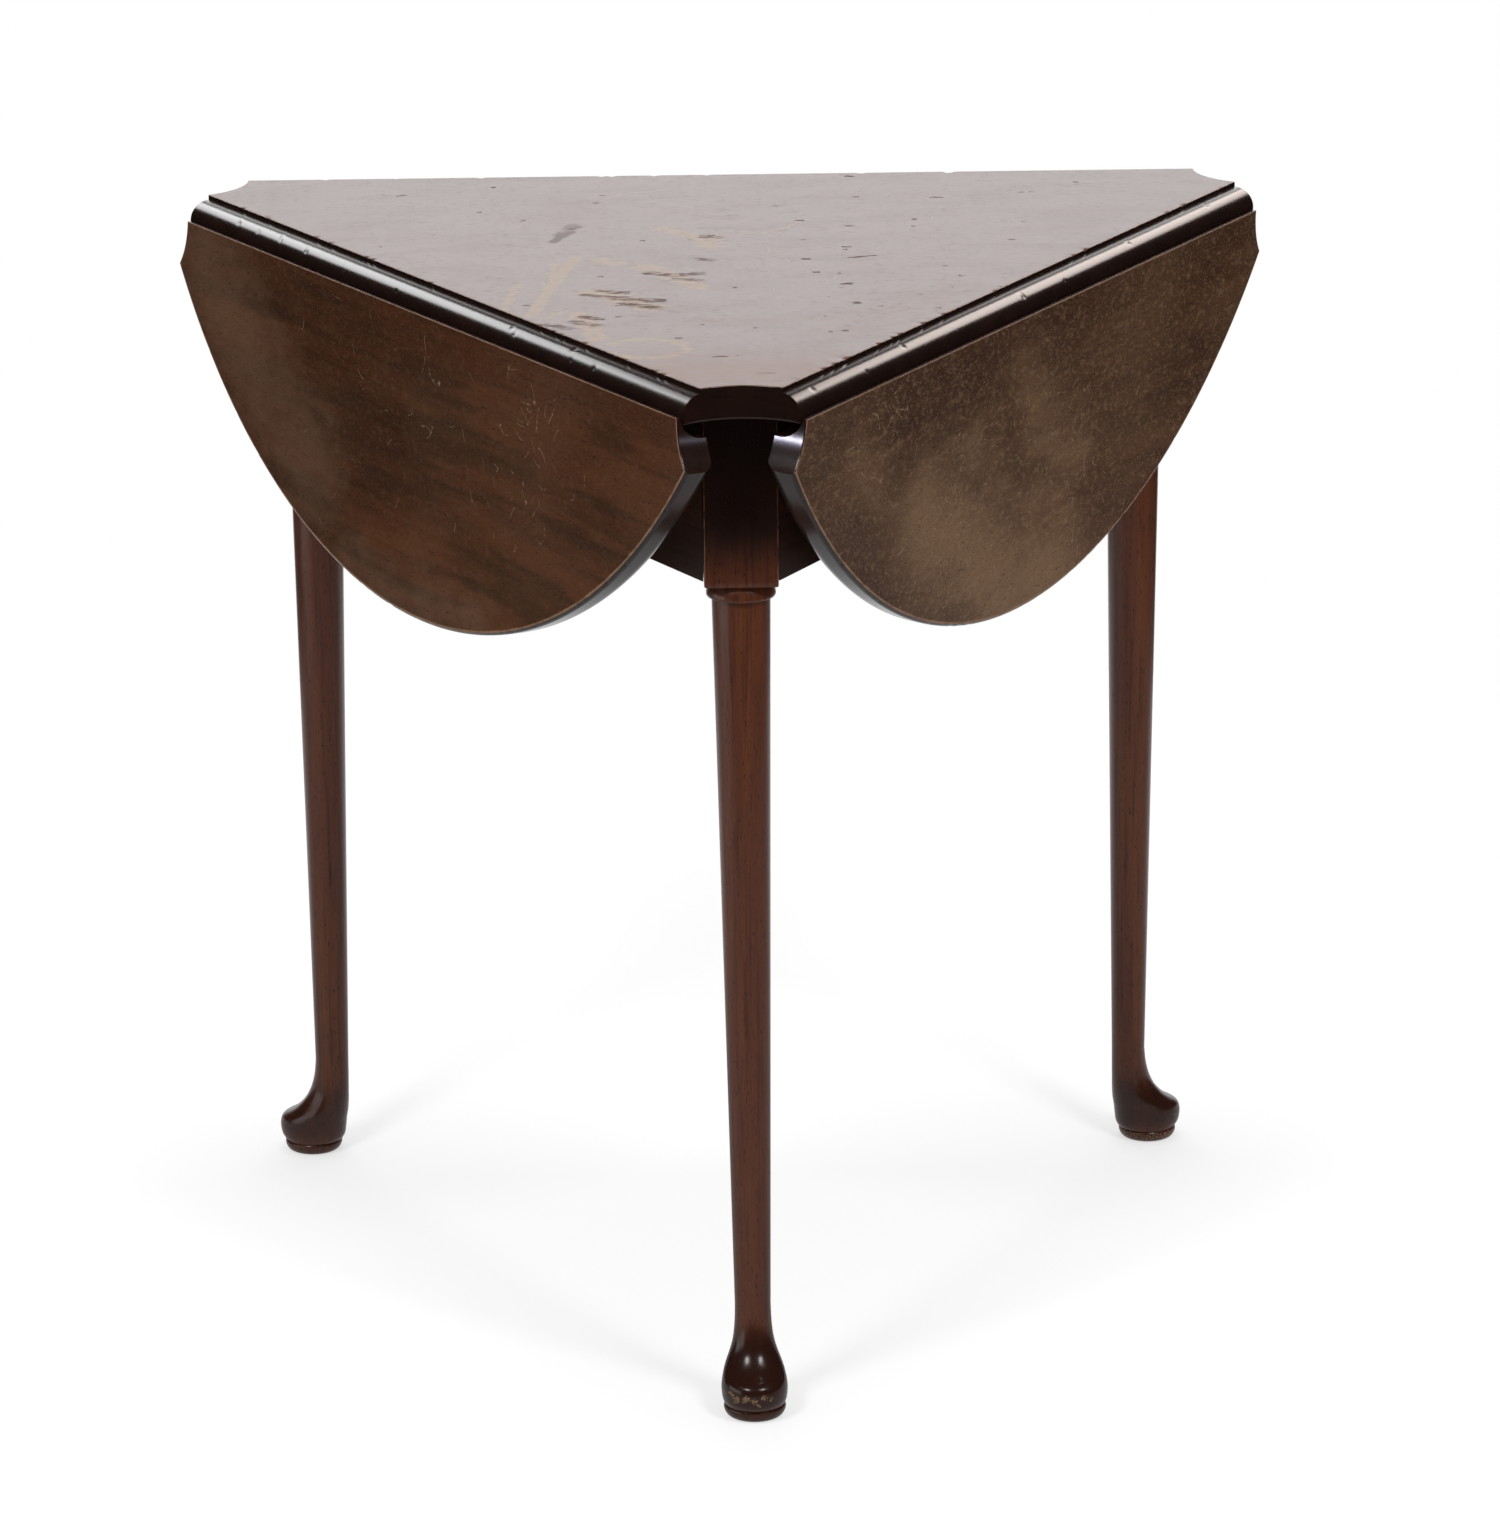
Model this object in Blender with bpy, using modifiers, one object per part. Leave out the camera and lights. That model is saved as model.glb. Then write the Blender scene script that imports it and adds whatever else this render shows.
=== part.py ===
# Triangular drop-leaf table: a three-cornered top with three hanging D-shaped leaves on
# rule joints, turning on a three-legged stand. Metres, +Z up, the feet stand on Z = 0.
import math

import bmesh
import bpy
from mathutils import Matrix, Vector

# Top and leaves
TABLE_HEIGHT = 0.700  # floor to the top's upper face
BOARD_THICKNESS = 0.0215  # top and leaves are planed to one thickness
TOP_INRADIUS = 0.220  # table axis to each fillet edge of the top
OPEN_RADIUS = 0.426  # table axis to the rim of a raised leaf
SCOOP_RADIUS = 0.051  # hollow cut out of each corner, centred on the fillet lines' crossing
FILLET_HEIGHT = 0.0035  # square step above the ovolo
OVOLO_RADIUS = 0.0135  # quarter round that the leaf's cove turns about
RIM_EASING = 0.0015  # rounding of the leaf's curved rim
BACK_HANG = -4.2  # degrees out of the vertical at rest, inwards is negative
LEFT_HANG = 2.6
RIGHT_HANG = -4.2

# Clearances
JOINT_CLEARANCE = 0.0005  # between cove and ovolo, and nose and fillet
SEAT_GAP = 0.0003  # between pieces that rest on each other
CUT_OVERRUN = 0.003  # how far a cutter runs past the face that it opens

# Stand
LEAF_SPACE = 0.02315  # hinge line in to the nearest corner of a leg's block, for the hanging leaf
BLOCK_SIDE = 0.047  # square block at the head of a leg
BLOCK_EASING = 0.0008
APRON_DEPTH = 0.1167  # height of the rails and of the leg's block
RAIL_THICKNESS = 0.019
RAIL_SHIFT = 0.0042  # rail's middle, where it meets the block's side, in from the leg's axis
TENON_LENGTH = 0.011
TENON_THICKNESS = 0.008
TENON_SHOULDER = 0.014  # rail left above and below the tenon
TENON_ROOT = 0.005  # how far the tenon's root is carried into the rail

# Turned leg, below the block
COLLAR_RADIUS = 0.0222
COLLAR_HEIGHT = 0.0075
TAPER_TOP_RADIUS = 0.01795
ANKLE_RADIUS = 0.0117
ANKLE_HEIGHT = 0.070
FOOT_BOTTOM = 0.0090  # underside of the foot, above the pad's groove
FOOT_HEEL = 0.0070  # leg axis back to the heel
FOOT_TOE = 0.0412  # leg axis out to the toe
FOOT_HALF_WIDTH = 0.0216
PAD_OFFSET = 0.0170  # leg axis out to the pad's axis
PAD_RADIUS = 0.0203
PAD_HEIGHT = 0.0072
# Height, then how far heel, toe and width have gone from the ankle to their full size
FOOT_RING_SHARES = [
    (0.000, 1.51, 0.898, 0.838),
    (0.049, 1.17, 0.966, 0.940),
    (0.115, 1.00, 0.997, 0.990),
    (0.180, 0.89, 1.000, 1.000),
    (0.246, 0.77, 0.956, 0.950),
    (0.295, 0.64, 0.844, 0.880),
    (0.344, 0.53, 0.661, 0.790),
    (0.410, 0.40, 0.478, 0.630),
    (0.508, 0.23, 0.295, 0.384),
    (0.607, 0.13, 0.180, 0.200),
    (0.705, 0.064, 0.102, 0.100),
    (0.836, 0.02, 0.037, 0.030),
    (1.000, 0.00, 0.000, 0.000),
]
# Height and radius of the pad's rings
PAD_RING_SHARES = [(0.00, 0.960), (0.11, 1.000), (0.86, 1.000), (0.97, 0.970), (1.08, 0.925)]
# Height, and how far the radius has gone from the taper's to the collar's
COLLAR_RING_SHARES = [(0.00, 0.00), (0.10, 0.20), (0.24, 0.60), (0.44, 0.88), (0.68, 1.00), (1.00, 0.96)]

# Glue blocks in the corners behind the leg blocks
GLUE_BLOCK_DEPTH = 0.031
GLUE_BLOCK_HEIGHT = 0.070

# Cross bearer and the bolt that the top turns on
BEARER_WIDTH = 0.060
BEARER_THICKNESS = 0.020
BEARER_HOUSING = 0.006  # how far the bearer's ends are let into the rails
BOLT_RADIUS = 0.0040
BOLT_POINT = 0.0030  # length of the tapered end that is driven into the top
BOLT_DEPTH = 0.0145  # how far the bolt is driven into the top
BOLT_TAIL = 0.0040  # bolt below its nut
WASHER_RADIUS = 0.011
WASHER_THICKNESS = 0.0018
NUT_RADIUS = 0.0075
NUT_THICKNESS = 0.0068

# Table hinges: a short flap under the top and a long flap under the leaf
HINGE_INSET = 0.140  # end of the moulded edge, at the corner's scoop, to the middle of a hinge
HINGE_WIDTH = 0.038
FLAP_THICKNESS = 0.002
TOP_FLAP_REACH = 0.025  # pin to the flap's end
LEAF_FLAP_REACH = 0.050
KNUCKLE_RADIUS = 0.0031
PIN_RADIUS = 0.0013
SCREW_RADIUS = 0.0015
SCREW_HEAD_RADIUS = 0.0034
SCREW_LENGTH = 0.0130
# Places of a flap's screws: along the flap from neck to end, then across its width
FLAP_SCREW_SHARES = [(0.34, -0.27), (0.68, 0.27)]

# Roundness of curved faces
ROUND_SEGMENTS = 24
RIM_SEGMENTS = 168
SCOOP_SEGMENTS = 72
ARC_STEPS = 9
SMALL_SEGMENTS = 10

# Sizes that follow from those above
PIN_DEPTH = FILLET_HEIGHT + OVOLO_RADIUS  # upper face down to the hinge pin
UNDERSIDE_DROP = BOARD_THICKNESS - PIN_DEPTH  # hinge pin down to the underside
PIN_HEIGHT = TABLE_HEIGHT - PIN_DEPTH
TOP_UNDERSIDE = TABLE_HEIGHT - BOARD_THICKNESS
COVE_RADIUS = OVOLO_RADIUS + JOINT_CLEARANCE
CORNER_OFFSET = TOP_INRADIUS * math.sqrt(3)  # middle of a side to the fillet lines' crossing
HINGE_OFFSET = CORNER_OFFSET - SCOOP_RADIUS - HINGE_INSET
APRON_TOP = TOP_UNDERSIDE - SEAT_GAP
APRON_BOTTOM = APRON_TOP - APRON_DEPTH
SIDE_SINE = math.sin(math.radians(60))  # a side faces 60 degrees away from the legs at its ends
SIDE_COSINE = math.cos(math.radians(60))
BLOCK_FRONT_RADIUS = (TOP_INRADIUS - LEAF_SPACE - BLOCK_SIDE / 2 * SIDE_SINE) / SIDE_COSINE
LEG_AXIS_RADIUS = BLOCK_FRONT_RADIUS - BLOCK_SIDE / 2
BLOCK_BACK_RADIUS = BLOCK_FRONT_RADIUS - BLOCK_SIDE
RAIL_MIDDLE_RADIUS = (LEG_AXIS_RADIUS - RAIL_SHIFT) * SIDE_COSINE + BLOCK_SIDE / 2 * SIDE_SINE
RAIL_FACE_RADIUS = RAIL_MIDDLE_RADIUS + RAIL_THICKNESS / 2
RAIL_INNER_RADIUS = RAIL_MIDDLE_RADIUS - RAIL_THICKNESS / 2
HINGE_NECK = UNDERSIDE_DROP + 2 * JOINT_CLEARANCE  # pin to where a flap has its full width
SIDE_DEGREES = {"back": 90, "left": 210, "right": 330}  # way that each leaf faces
HANG_DEGREES = {"back": BACK_HANG, "left": LEFT_HANG, "right": RIGHT_HANG}
LEG_DEGREES = {"front": 270, "right": 30, "left": 150}


# Scene helpers


def clear_scene():
    for obj in list(bpy.data.objects):
        bpy.data.objects.remove(obj, do_unlink=True)


def new_collection(name):
    collection = bpy.data.collections.new(name)
    bpy.context.scene.collection.children.link(collection)
    return collection


def new_material(name, colour, roughness, metallic=0.0):
    material = bpy.data.materials.new(name)
    material.use_nodes = True
    shader = material.node_tree.nodes["Principled BSDF"]
    shader.inputs["Base Color"].default_value = (*colour, 1.0)
    shader.inputs["Roughness"].default_value = roughness
    shader.inputs["Metallic"].default_value = metallic
    return material


def add_empty(name, parent=None, location=(0, 0, 0), rotation=(0, 0, 0)):
    empty = bpy.data.objects.new(name, None)
    empty.parent = parent
    empty.location = location
    empty.rotation_euler = rotation
    parts.objects.link(empty)
    return empty


def add_part(name, mesh, material, parent, location=(0, 0, 0)):
    mesh.name = name
    mesh.materials.clear()
    mesh.materials.append(material)
    obj = bpy.data.objects.new(name, mesh)
    obj.parent = parent
    obj.location = location
    parts.objects.link(obj)
    return obj


def add_cutter(name, mesh, parent, location=(0, 0, 0)):
    obj = bpy.data.objects.new(name, mesh)
    obj.parent = parent
    obj.location = location
    obj.hide_render = True
    obj.display_type = "WIRE"
    cutters.objects.link(obj)
    return obj


def boolean(part, other, operation="DIFFERENCE"):
    modifier = part.modifiers.new(other.name, "BOOLEAN")
    modifier.operation = operation
    modifier.solver = "EXACT"
    modifier.object = other


# Mesh helpers


def to_mesh(obj, name):
    """Evaluated copy of an object as a closed mesh; the object is removed."""
    bpy.context.scene.collection.objects.link(obj)
    bpy.context.view_layer.update()
    evaluated = obj.evaluated_get(bpy.context.evaluated_depsgraph_get())
    mesh = bpy.data.meshes.new_from_object(evaluated)
    bpy.data.objects.remove(obj, do_unlink=True)
    work = bmesh.new()
    work.from_mesh(mesh)
    bmesh.ops.remove_doubles(work, verts=work.verts, dist=SEAT_GAP / 100)
    bmesh.ops.recalc_face_normals(work, faces=work.faces)
    work.to_mesh(mesh)
    work.free()
    mesh.name = name
    return mesh


def outline_mesh(name, points, low, high):
    """A flat outline in X and Y, extruded from low to high along Z."""
    curve = bpy.data.curves.new(name, "CURVE")
    curve.dimensions = "2D"
    curve.fill_mode = "BOTH"
    curve.extrude = (high - low) / 2
    spline = curve.splines.new("POLY")
    spline.points.add(len(points) - 1)
    for point, place in zip(spline.points, points):
        point.co = (place[0], place[1], 0, 1)
    spline.use_cyclic_u = True
    mesh = to_mesh(bpy.data.objects.new(name, curve), name)
    mesh.transform(Matrix.Translation((0, 0, (low + high) / 2)))
    return mesh


def profile_mesh(name, points, low, high):
    """An outline in X and Z, extruded from low to high along Y."""
    mesh = outline_mesh(name, points, -high, -low)
    mesh.transform(Matrix.Rotation(math.pi / 2, 4, "X"))
    return mesh


def turned_mesh(name, profile, steps):
    """A profile of radius and height, given from top to bottom, turned about Z."""
    mesh = bpy.data.meshes.new(name)
    edges = [(index, index + 1) for index in range(len(profile) - 1)]
    mesh.from_pydata([(radius, 0, height) for radius, height in profile], edges, [])
    obj = bpy.data.objects.new(name, mesh)
    screw = obj.modifiers.new("Turn", "SCREW")
    screw.angle = 2 * math.pi
    screw.steps = steps
    screw.render_steps = steps
    screw.use_merge_vertices = True
    screw.merge_threshold = SEAT_GAP / 100
    return to_mesh(obj, name)


def box_mesh(name, low, high, easing=0):
    work = bmesh.new()
    size = Vector(high) - Vector(low)
    middle = (Vector(high) + Vector(low)) / 2
    bmesh.ops.create_cube(work, size=1, matrix=Matrix.Translation(middle) @ Matrix.Diagonal((*size, 1)))
    if easing:
        bmesh.ops.bevel(work, geom=work.edges[:], offset=easing, segments=2, profile=0.5, affect="EDGES")
    mesh = bpy.data.meshes.new(name)
    work.to_mesh(mesh)
    work.free()
    return mesh


def cylinder_mesh(name, radius, low, high, segments, easing=0):
    work = bmesh.new()
    bmesh.ops.create_cone(
        work,
        cap_ends=True,
        segments=segments,
        radius1=radius,
        radius2=radius,
        depth=high - low,
        matrix=Matrix.Translation((0, 0, (low + high) / 2)),
    )
    if easing:
        rims = [edge for edge in work.edges if any(len(face.verts) > 4 for face in edge.link_faces)]
        bmesh.ops.bevel(work, geom=rims, offset=easing, segments=2, profile=0.5, affect="EDGES")
    mesh = bpy.data.meshes.new(name)
    work.to_mesh(mesh)
    work.free()
    return mesh


def repeated_mesh(name, body, places):
    """Copies of one body at several places, in one mesh."""
    work = bmesh.new()
    for place in places:
        copy = body.copy()
        copy.transform(Matrix.Translation(place))
        work.from_mesh(copy)
        bpy.data.meshes.remove(copy)
    mesh = bpy.data.meshes.new(name)
    work.to_mesh(mesh)
    work.free()
    return mesh


def lofted_mesh(name, rings):
    """Skin over rings of points, all of one count, with flat ends."""
    work = bmesh.new()
    loops = [[work.verts.new(point) for point in ring] for ring in rings]
    count = len(loops[0])
    for lower, upper in zip(loops, loops[1:]):
        for index in range(count):
            following = (index + 1) % count
            work.faces.new((lower[index], lower[following], upper[following], upper[index]))
    work.faces.new(list(reversed(loops[0])))
    work.faces.new(loops[-1])
    mesh = bpy.data.meshes.new(name)
    work.to_mesh(mesh)
    work.free()
    return mesh


def smooth(obj, degrees=35):
    obj.data.shade_smooth()
    obj.data.set_sharp_from_angle(angle=math.radians(degrees))


def arc_points(radius, start, end, steps):
    """Points on a circle about the origin, from start to end in degrees."""
    angles = [math.radians(start + (end - start) * step / steps) for step in range(steps + 1)]
    return [(radius * math.cos(angle), radius * math.sin(angle)) for angle in angles]


def blend(first, second, share):
    return first + (second - first) * share


# Screws


def screw_mesh(name, grow=0.0, overrun=0.0):
    """Countersunk screw with its head's face at Z = 0, driven along +Z."""
    shank = SCREW_RADIUS + grow
    profile = [
        (0, SCREW_LENGTH + grow),
        (shank / 2, SCREW_LENGTH + grow),
        (shank, SCREW_LENGTH - SCREW_RADIUS),
        (shank, SCREW_HEAD_RADIUS - SCREW_RADIUS),
        (SCREW_HEAD_RADIUS + grow + overrun, -overrun),
        (0, -overrun),
    ]
    return turned_mesh(name, profile, SMALL_SEGMENTS)


def screw_holes(name, places, parent):
    """One cutter for the holes of several screws, each a little larger than its screw."""
    hole = screw_mesh(name, SEAT_GAP, CUT_OVERRUN)
    return add_cutter(name, repeated_mesh(name, hole, places), parent)


def add_screws(name, places, parent):
    mesh = screw_mesh(name)
    for index, place in enumerate(places, 1):
        smooth(add_part(f"{name}_{index}", mesh, screw_brass, parent, place))


def flap_screw_places(reach, direction):
    """Screw places on one side's two flaps, which run along direction * X."""
    places = []
    for hinge in hinge_places():
        for along, across in FLAP_SCREW_SHARES:
            x = direction * blend(HINGE_NECK, reach, along)
            places.append(hinge + Vector((x, across * HINGE_WIDTH, -UNDERSIDE_DROP)))
    return places


# Table hinge, about its pin on the Y axis, with both flaps as they lie when the leaf is raised


def knuckle_outline(direction):
    """Tongue and barrel in X and Z, the tongue running along direction * X."""
    flap_top = FLAP_THICKNESS - UNDERSIDE_DROP
    half_chord = math.sqrt(KNUCKLE_RADIUS**2 - flap_top**2)
    start = math.degrees(math.atan2(flap_top, half_chord))
    barrel = arc_points(KNUCKLE_RADIUS, start, 180 - start, SMALL_SEGMENTS)
    root = -HINGE_NECK - FLAP_THICKNESS
    outline = [(root, -UNDERSIDE_DROP), (0, -UNDERSIDE_DROP), *barrel, (root, flap_top)]
    return [(-direction * x, z) for x, z in outline]


def make_flap(name, material, parent, place, direction, reach, knuckles, holes):
    """One flap: a plate, its share of the knuckles, the pin's bore and the screw holes."""
    half = HINGE_WIDTH / 2
    ends = sorted((direction * HINGE_NECK, direction * reach))
    low = (ends[0], -half, -UNDERSIDE_DROP)
    high = (ends[1], half, FLAP_THICKNESS - UNDERSIDE_DROP)
    flap = add_part(name, box_mesh(name, low, high), material, parent, place)
    outline = knuckle_outline(direction)
    for index, (near, far) in enumerate(knuckles):
        mesh = profile_mesh(name, outline, near, far)
        boolean(flap, add_cutter(f"{name}_knuckle_{index}", mesh, parent, place), "UNION")
    end = half + CUT_OVERRUN
    bore = cylinder_mesh(name, PIN_RADIUS + SEAT_GAP, -end, end, SMALL_SEGMENTS)
    bore.transform(Matrix.Rotation(math.pi / 2, 4, "X"))
    boolean(flap, add_cutter(name + "_bore", bore, parent, place))
    boolean(flap, holes)
    return flap


def pocket_outlines():
    """Pockets for a hinge, in X and Z: in the top board, and in the leaf board."""
    below = -UNDERSIDE_DROP - CUT_OVERRUN
    flap_top = FLAP_THICKNESS - UNDERSIDE_DROP + SEAT_GAP
    groove_low = -UNDERSIDE_DROP - SEAT_GAP
    groove_high = KNUCKLE_RADIUS + JOINT_CLEARANCE
    edge = OVOLO_RADIUS + CUT_OVERRUN
    top = [
        (-TOP_FLAP_REACH - SEAT_GAP, below),
        (edge, below),
        (edge, flap_top),
        (groove_high, flap_top),
        (groove_high, groove_high),
        (groove_low, groove_high),
        (groove_low, flap_top),
        (-TOP_FLAP_REACH - SEAT_GAP, flap_top),
    ]
    leaf = [
        (COVE_RADIUS - CUT_OVERRUN, below),
        (LEAF_FLAP_REACH + SEAT_GAP, below),
        (LEAF_FLAP_REACH + SEAT_GAP, flap_top),
        (COVE_RADIUS - CUT_OVERRUN, flap_top),
    ]
    return top, leaf


def hinge_places():
    return [Vector((0, -HINGE_OFFSET, 0)), Vector((0, HINGE_OFFSET, 0))]


# Corner scoops, which cut both the top and the ends of the leaves


def scoop_mesh():
    """A cylinder with the middle of a facet, and no edge, on each fillet line that it meets."""
    low = -UNDERSIDE_DROP - CUT_OVERRUN
    mesh = cylinder_mesh("scoop", SCOOP_RADIUS, low, PIN_DEPTH + CUT_OVERRUN, SCOOP_SEGMENTS)
    mesh.transform(Matrix.Rotation(math.pi / SCOOP_SEGMENTS, 4, "Z"))
    return mesh


# Top board: a disc cut by three moulded edges and three corner scoops


def ovolo_cutter_outline():
    """What lies outside the moulded edge, in X and Z about the hinge pin."""
    above = PIN_DEPTH + CUT_OVERRUN
    below = -UNDERSIDE_DROP - CUT_OVERRUN
    foot = math.degrees(math.asin(below / OVOLO_RADIUS))
    arc = arc_points(OVOLO_RADIUS, 90, foot, ARC_STEPS)
    far = TOP_INRADIUS * 2
    return [(0, above), *arc, (far, below), (far, above)]


def make_top(side_empties, flap_screw_holes):
    mesh = cylinder_mesh("top_board", 2 * TOP_INRADIUS, TOP_UNDERSIDE, TABLE_HEIGHT, RIM_SEGMENTS)
    board = add_part("top_board", mesh, mahogany_top, table)
    outline = ovolo_cutter_outline()
    pocket, _ = pocket_outlines()
    reach = 2 * CORNER_OFFSET
    for side, empty in side_empties.items():
        edge = profile_mesh("edge", outline, -reach, reach)
        boolean(board, add_cutter("edge_" + side, edge, empty))
    for side, empty in side_empties.items():
        boolean(board, add_cutter("scoop_" + side, scoop_mesh(), empty, (0, CORNER_OFFSET, 0)))
    half = HINGE_WIDTH / 2 + SEAT_GAP
    for side, empty in side_empties.items():
        pockets = repeated_mesh("pockets", profile_mesh("pocket", pocket, -half, half), hinge_places())
        boolean(board, add_cutter("hinge_pockets_" + side, pockets, empty))
        boolean(board, flap_screw_holes[side])
    smooth(board)
    return board


# Leaf: a disc cut back by its cove and two scoops, modelled raised and turned down on its pin


def cove_cutter_outline():
    """What lies inside the leaf's joint edge, in X and Z about the hinge pin."""
    nose = math.degrees(math.acos(JOINT_CLEARANCE / COVE_RADIUS))
    arc = arc_points(COVE_RADIUS, 0, nose, ARC_STEPS)
    above = PIN_DEPTH + CUT_OVERRUN
    below = -UNDERSIDE_DROP - CUT_OVERRUN
    far = -TOP_INRADIUS - 2 * OPEN_RADIUS
    return [(far, below), (COVE_RADIUS, below), *arc, (JOINT_CLEARANCE, above), (far, above)]


def make_leaf(side, empty):
    name = "leaf_board_" + side
    rim = cylinder_mesh(name, OPEN_RADIUS, -UNDERSIDE_DROP, PIN_DEPTH, RIM_SEGMENTS, RIM_EASING)
    rim.transform(Matrix.Translation((-TOP_INRADIUS, 0, 0)))
    board = add_part(name, rim, mahogany_leaf, empty)
    reach = 2 * OPEN_RADIUS
    cove = profile_mesh("cove", cove_cutter_outline(), -reach, reach)
    boolean(board, add_cutter("cove_" + side, cove, empty))
    for index, sign in enumerate((-1, 1)):
        place = (0, sign * CORNER_OFFSET, 0)
        boolean(board, add_cutter(f"leaf_scoop_{side}_{index}", scoop_mesh(), empty, place))
    _, pocket = pocket_outlines()
    half = HINGE_WIDTH / 2 + SEAT_GAP
    pockets = repeated_mesh("pockets", profile_mesh("pocket", pocket, -half, half), hinge_places())
    boolean(board, add_cutter("leaf_pockets_" + side, pockets, empty))
    return board


def make_leaf_hardware(side, empty, board):
    """Long flaps and their screws, which turn with the leaf."""
    places = flap_screw_places(LEAF_FLAP_REACH, 1)
    add_screws("leaf_flap_screw_" + side, places, empty)
    cutter = screw_holes("leaf_flap_screw_holes_" + side, places, empty)
    boolean(board, cutter)
    smooth(board)
    third = HINGE_WIDTH / 6 - SEAT_GAP / 2
    for index, hinge in enumerate(hinge_places(), 1):
        name = f"hinge_leaf_flap_{side}_{index}"
        smooth(make_flap(name, hinge_brass, empty, hinge, 1, LEAF_FLAP_REACH, [(-third, third)], cutter))


def make_top_hardware(side, empty):
    """Short flaps, pins and screws of one side, which stay with the top."""
    places = flap_screw_places(TOP_FLAP_REACH, -1)
    add_screws("top_flap_screw_" + side, places, empty)
    cutter = screw_holes("top_flap_screw_holes_" + side, places, empty)
    half = HINGE_WIDTH / 2
    inner = HINGE_WIDTH / 6 + SEAT_GAP / 2
    for index, hinge in enumerate(hinge_places(), 1):
        name = f"hinge_top_flap_{side}_{index}"
        knuckles = [(-half, -inner), (inner, half)]
        smooth(make_flap(name, hinge_brass, empty, hinge, -1, TOP_FLAP_REACH, knuckles, cutter))
        pin = cylinder_mesh("pin", PIN_RADIUS, -half, half, SMALL_SEGMENTS)
        pin.transform(Matrix.Rotation(math.pi / 2, 4, "X"))
        smooth(add_part(f"hinge_pin_{side}_{index}", pin, pin_steel, empty, hinge))
    return cutter


# Stand


def foot_ring(height_share, heel_share, toe_share, width_share):
    """One oval section of the foot, with the toe along +X."""
    height = blend(FOOT_BOTTOM, ANKLE_HEIGHT, height_share)
    heel = blend(ANKLE_RADIUS, FOOT_HEEL, heel_share)
    toe = blend(ANKLE_RADIUS, FOOT_TOE, toe_share)
    return height, (toe - heel) / 2, (toe + heel) / 2, blend(ANKLE_RADIUS, FOOT_HALF_WIDTH, width_share)


def leg_rings():
    """Height, offset, half length and half width of every section of the leg, from the floor up."""
    rings = []
    for height_share, radius_share in PAD_RING_SHARES:
        radius = PAD_RADIUS * radius_share
        rings.append((PAD_HEIGHT * height_share, PAD_OFFSET, radius, radius))
    for shares in FOOT_RING_SHARES:
        rings.append(foot_ring(*shares))
    for height_share, radius_share in COLLAR_RING_SHARES:
        height = APRON_BOTTOM - COLLAR_HEIGHT * (1 - height_share)
        radius = blend(TAPER_TOP_RADIUS, COLLAR_RADIUS, radius_share)
        rings.append((height, 0, radius, radius))
    rings.append((APRON_BOTTOM + COLLAR_HEIGHT, 0, TAPER_TOP_RADIUS, TAPER_TOP_RADIUS))
    return rings


def tenon_box(name, sign, grow):
    """Tenon in the leg's frame, entering the block's side that faces sign * Y."""
    outer = BLOCK_SIDE / 2 + (CUT_OVERRUN if grow else SEAT_GAP + TENON_ROOT)
    inner = BLOCK_SIDE / 2 + SEAT_GAP - TENON_LENGTH - grow
    half = TENON_THICKNESS / 2 + grow
    ends = sorted((sign * inner, sign * outer))
    low = (-RAIL_SHIFT - half, ends[0], APRON_BOTTOM + TENON_SHOULDER - grow)
    high = (-RAIL_SHIFT + half, ends[1], APRON_TOP - TENON_SHOULDER + grow)
    return box_mesh(name, low, high)


def make_leg(name, empty):
    half = BLOCK_SIDE / 2
    rings = []
    for height, offset, half_length, half_width in leg_rings():
        turns = [2 * math.pi * index / ROUND_SEGMENTS for index in range(ROUND_SEGMENTS)]
        ring = [(offset + half_length * math.cos(t), half_width * math.sin(t), height) for t in turns]
        rings.append(ring)
    leg = add_part(name, lofted_mesh(name, rings), mahogany_leg, empty)
    block = box_mesh("block", (-half, -half, APRON_BOTTOM), (half, half, APRON_TOP), BLOCK_EASING)
    boolean(leg, add_cutter(name + "_block", block, empty), "UNION")
    for sign in (-1, 1):
        mortise = tenon_box("mortise", sign, SEAT_GAP)
        boolean(leg, add_cutter(f"{name}_mortise_{sign + 1}", mortise, empty))
    smooth(leg)


def leg_side_meeting(radius, offset):
    """How far along a side the plane at radius meets a leg block's side face, set off by offset."""
    return (radius * SIDE_SINE - BLOCK_SIDE / 2 - offset) / SIDE_COSINE


def make_rail(side, empty):
    name = "rail_" + side
    outer = leg_side_meeting(RAIL_FACE_RADIUS, SEAT_GAP)
    inner = leg_side_meeting(RAIL_INNER_RADIUS, SEAT_GAP)
    outline = [
        (RAIL_FACE_RADIUS, -outer),
        (RAIL_FACE_RADIUS, outer),
        (RAIL_INNER_RADIUS, inner),
        (RAIL_INNER_RADIUS, -inner),
    ]
    rail = add_part(name, outline_mesh(name, outline, APRON_BOTTOM, APRON_TOP), mahogany_rail, empty)
    for sign in (-1, 1):
        corner = add_empty(f"{name}_end_{sign + 1}", empty, rotation=(0, 0, sign * math.radians(60)))
        tenon = tenon_box("tenon", -sign, 0)
        place = (LEG_AXIS_RADIUS, 0, 0)
        boolean(rail, add_cutter(f"{name}_tenon_{sign + 1}", tenon, corner, place), "UNION")
    return rail


def bearer_outline(grow):
    """Bearer in plan, its ends following the left and right rails."""
    half = BEARER_WIDTH / 2 + grow
    end_radius = RAIL_INNER_RADIUS + BEARER_HOUSING - SEAT_GAP + grow
    near = (end_radius - half * SIDE_COSINE) / SIDE_SINE
    far = (end_radius + half * SIDE_COSINE) / SIDE_SINE
    return [(-near, -half), (near, -half), (far, half), (-far, half)]


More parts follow.
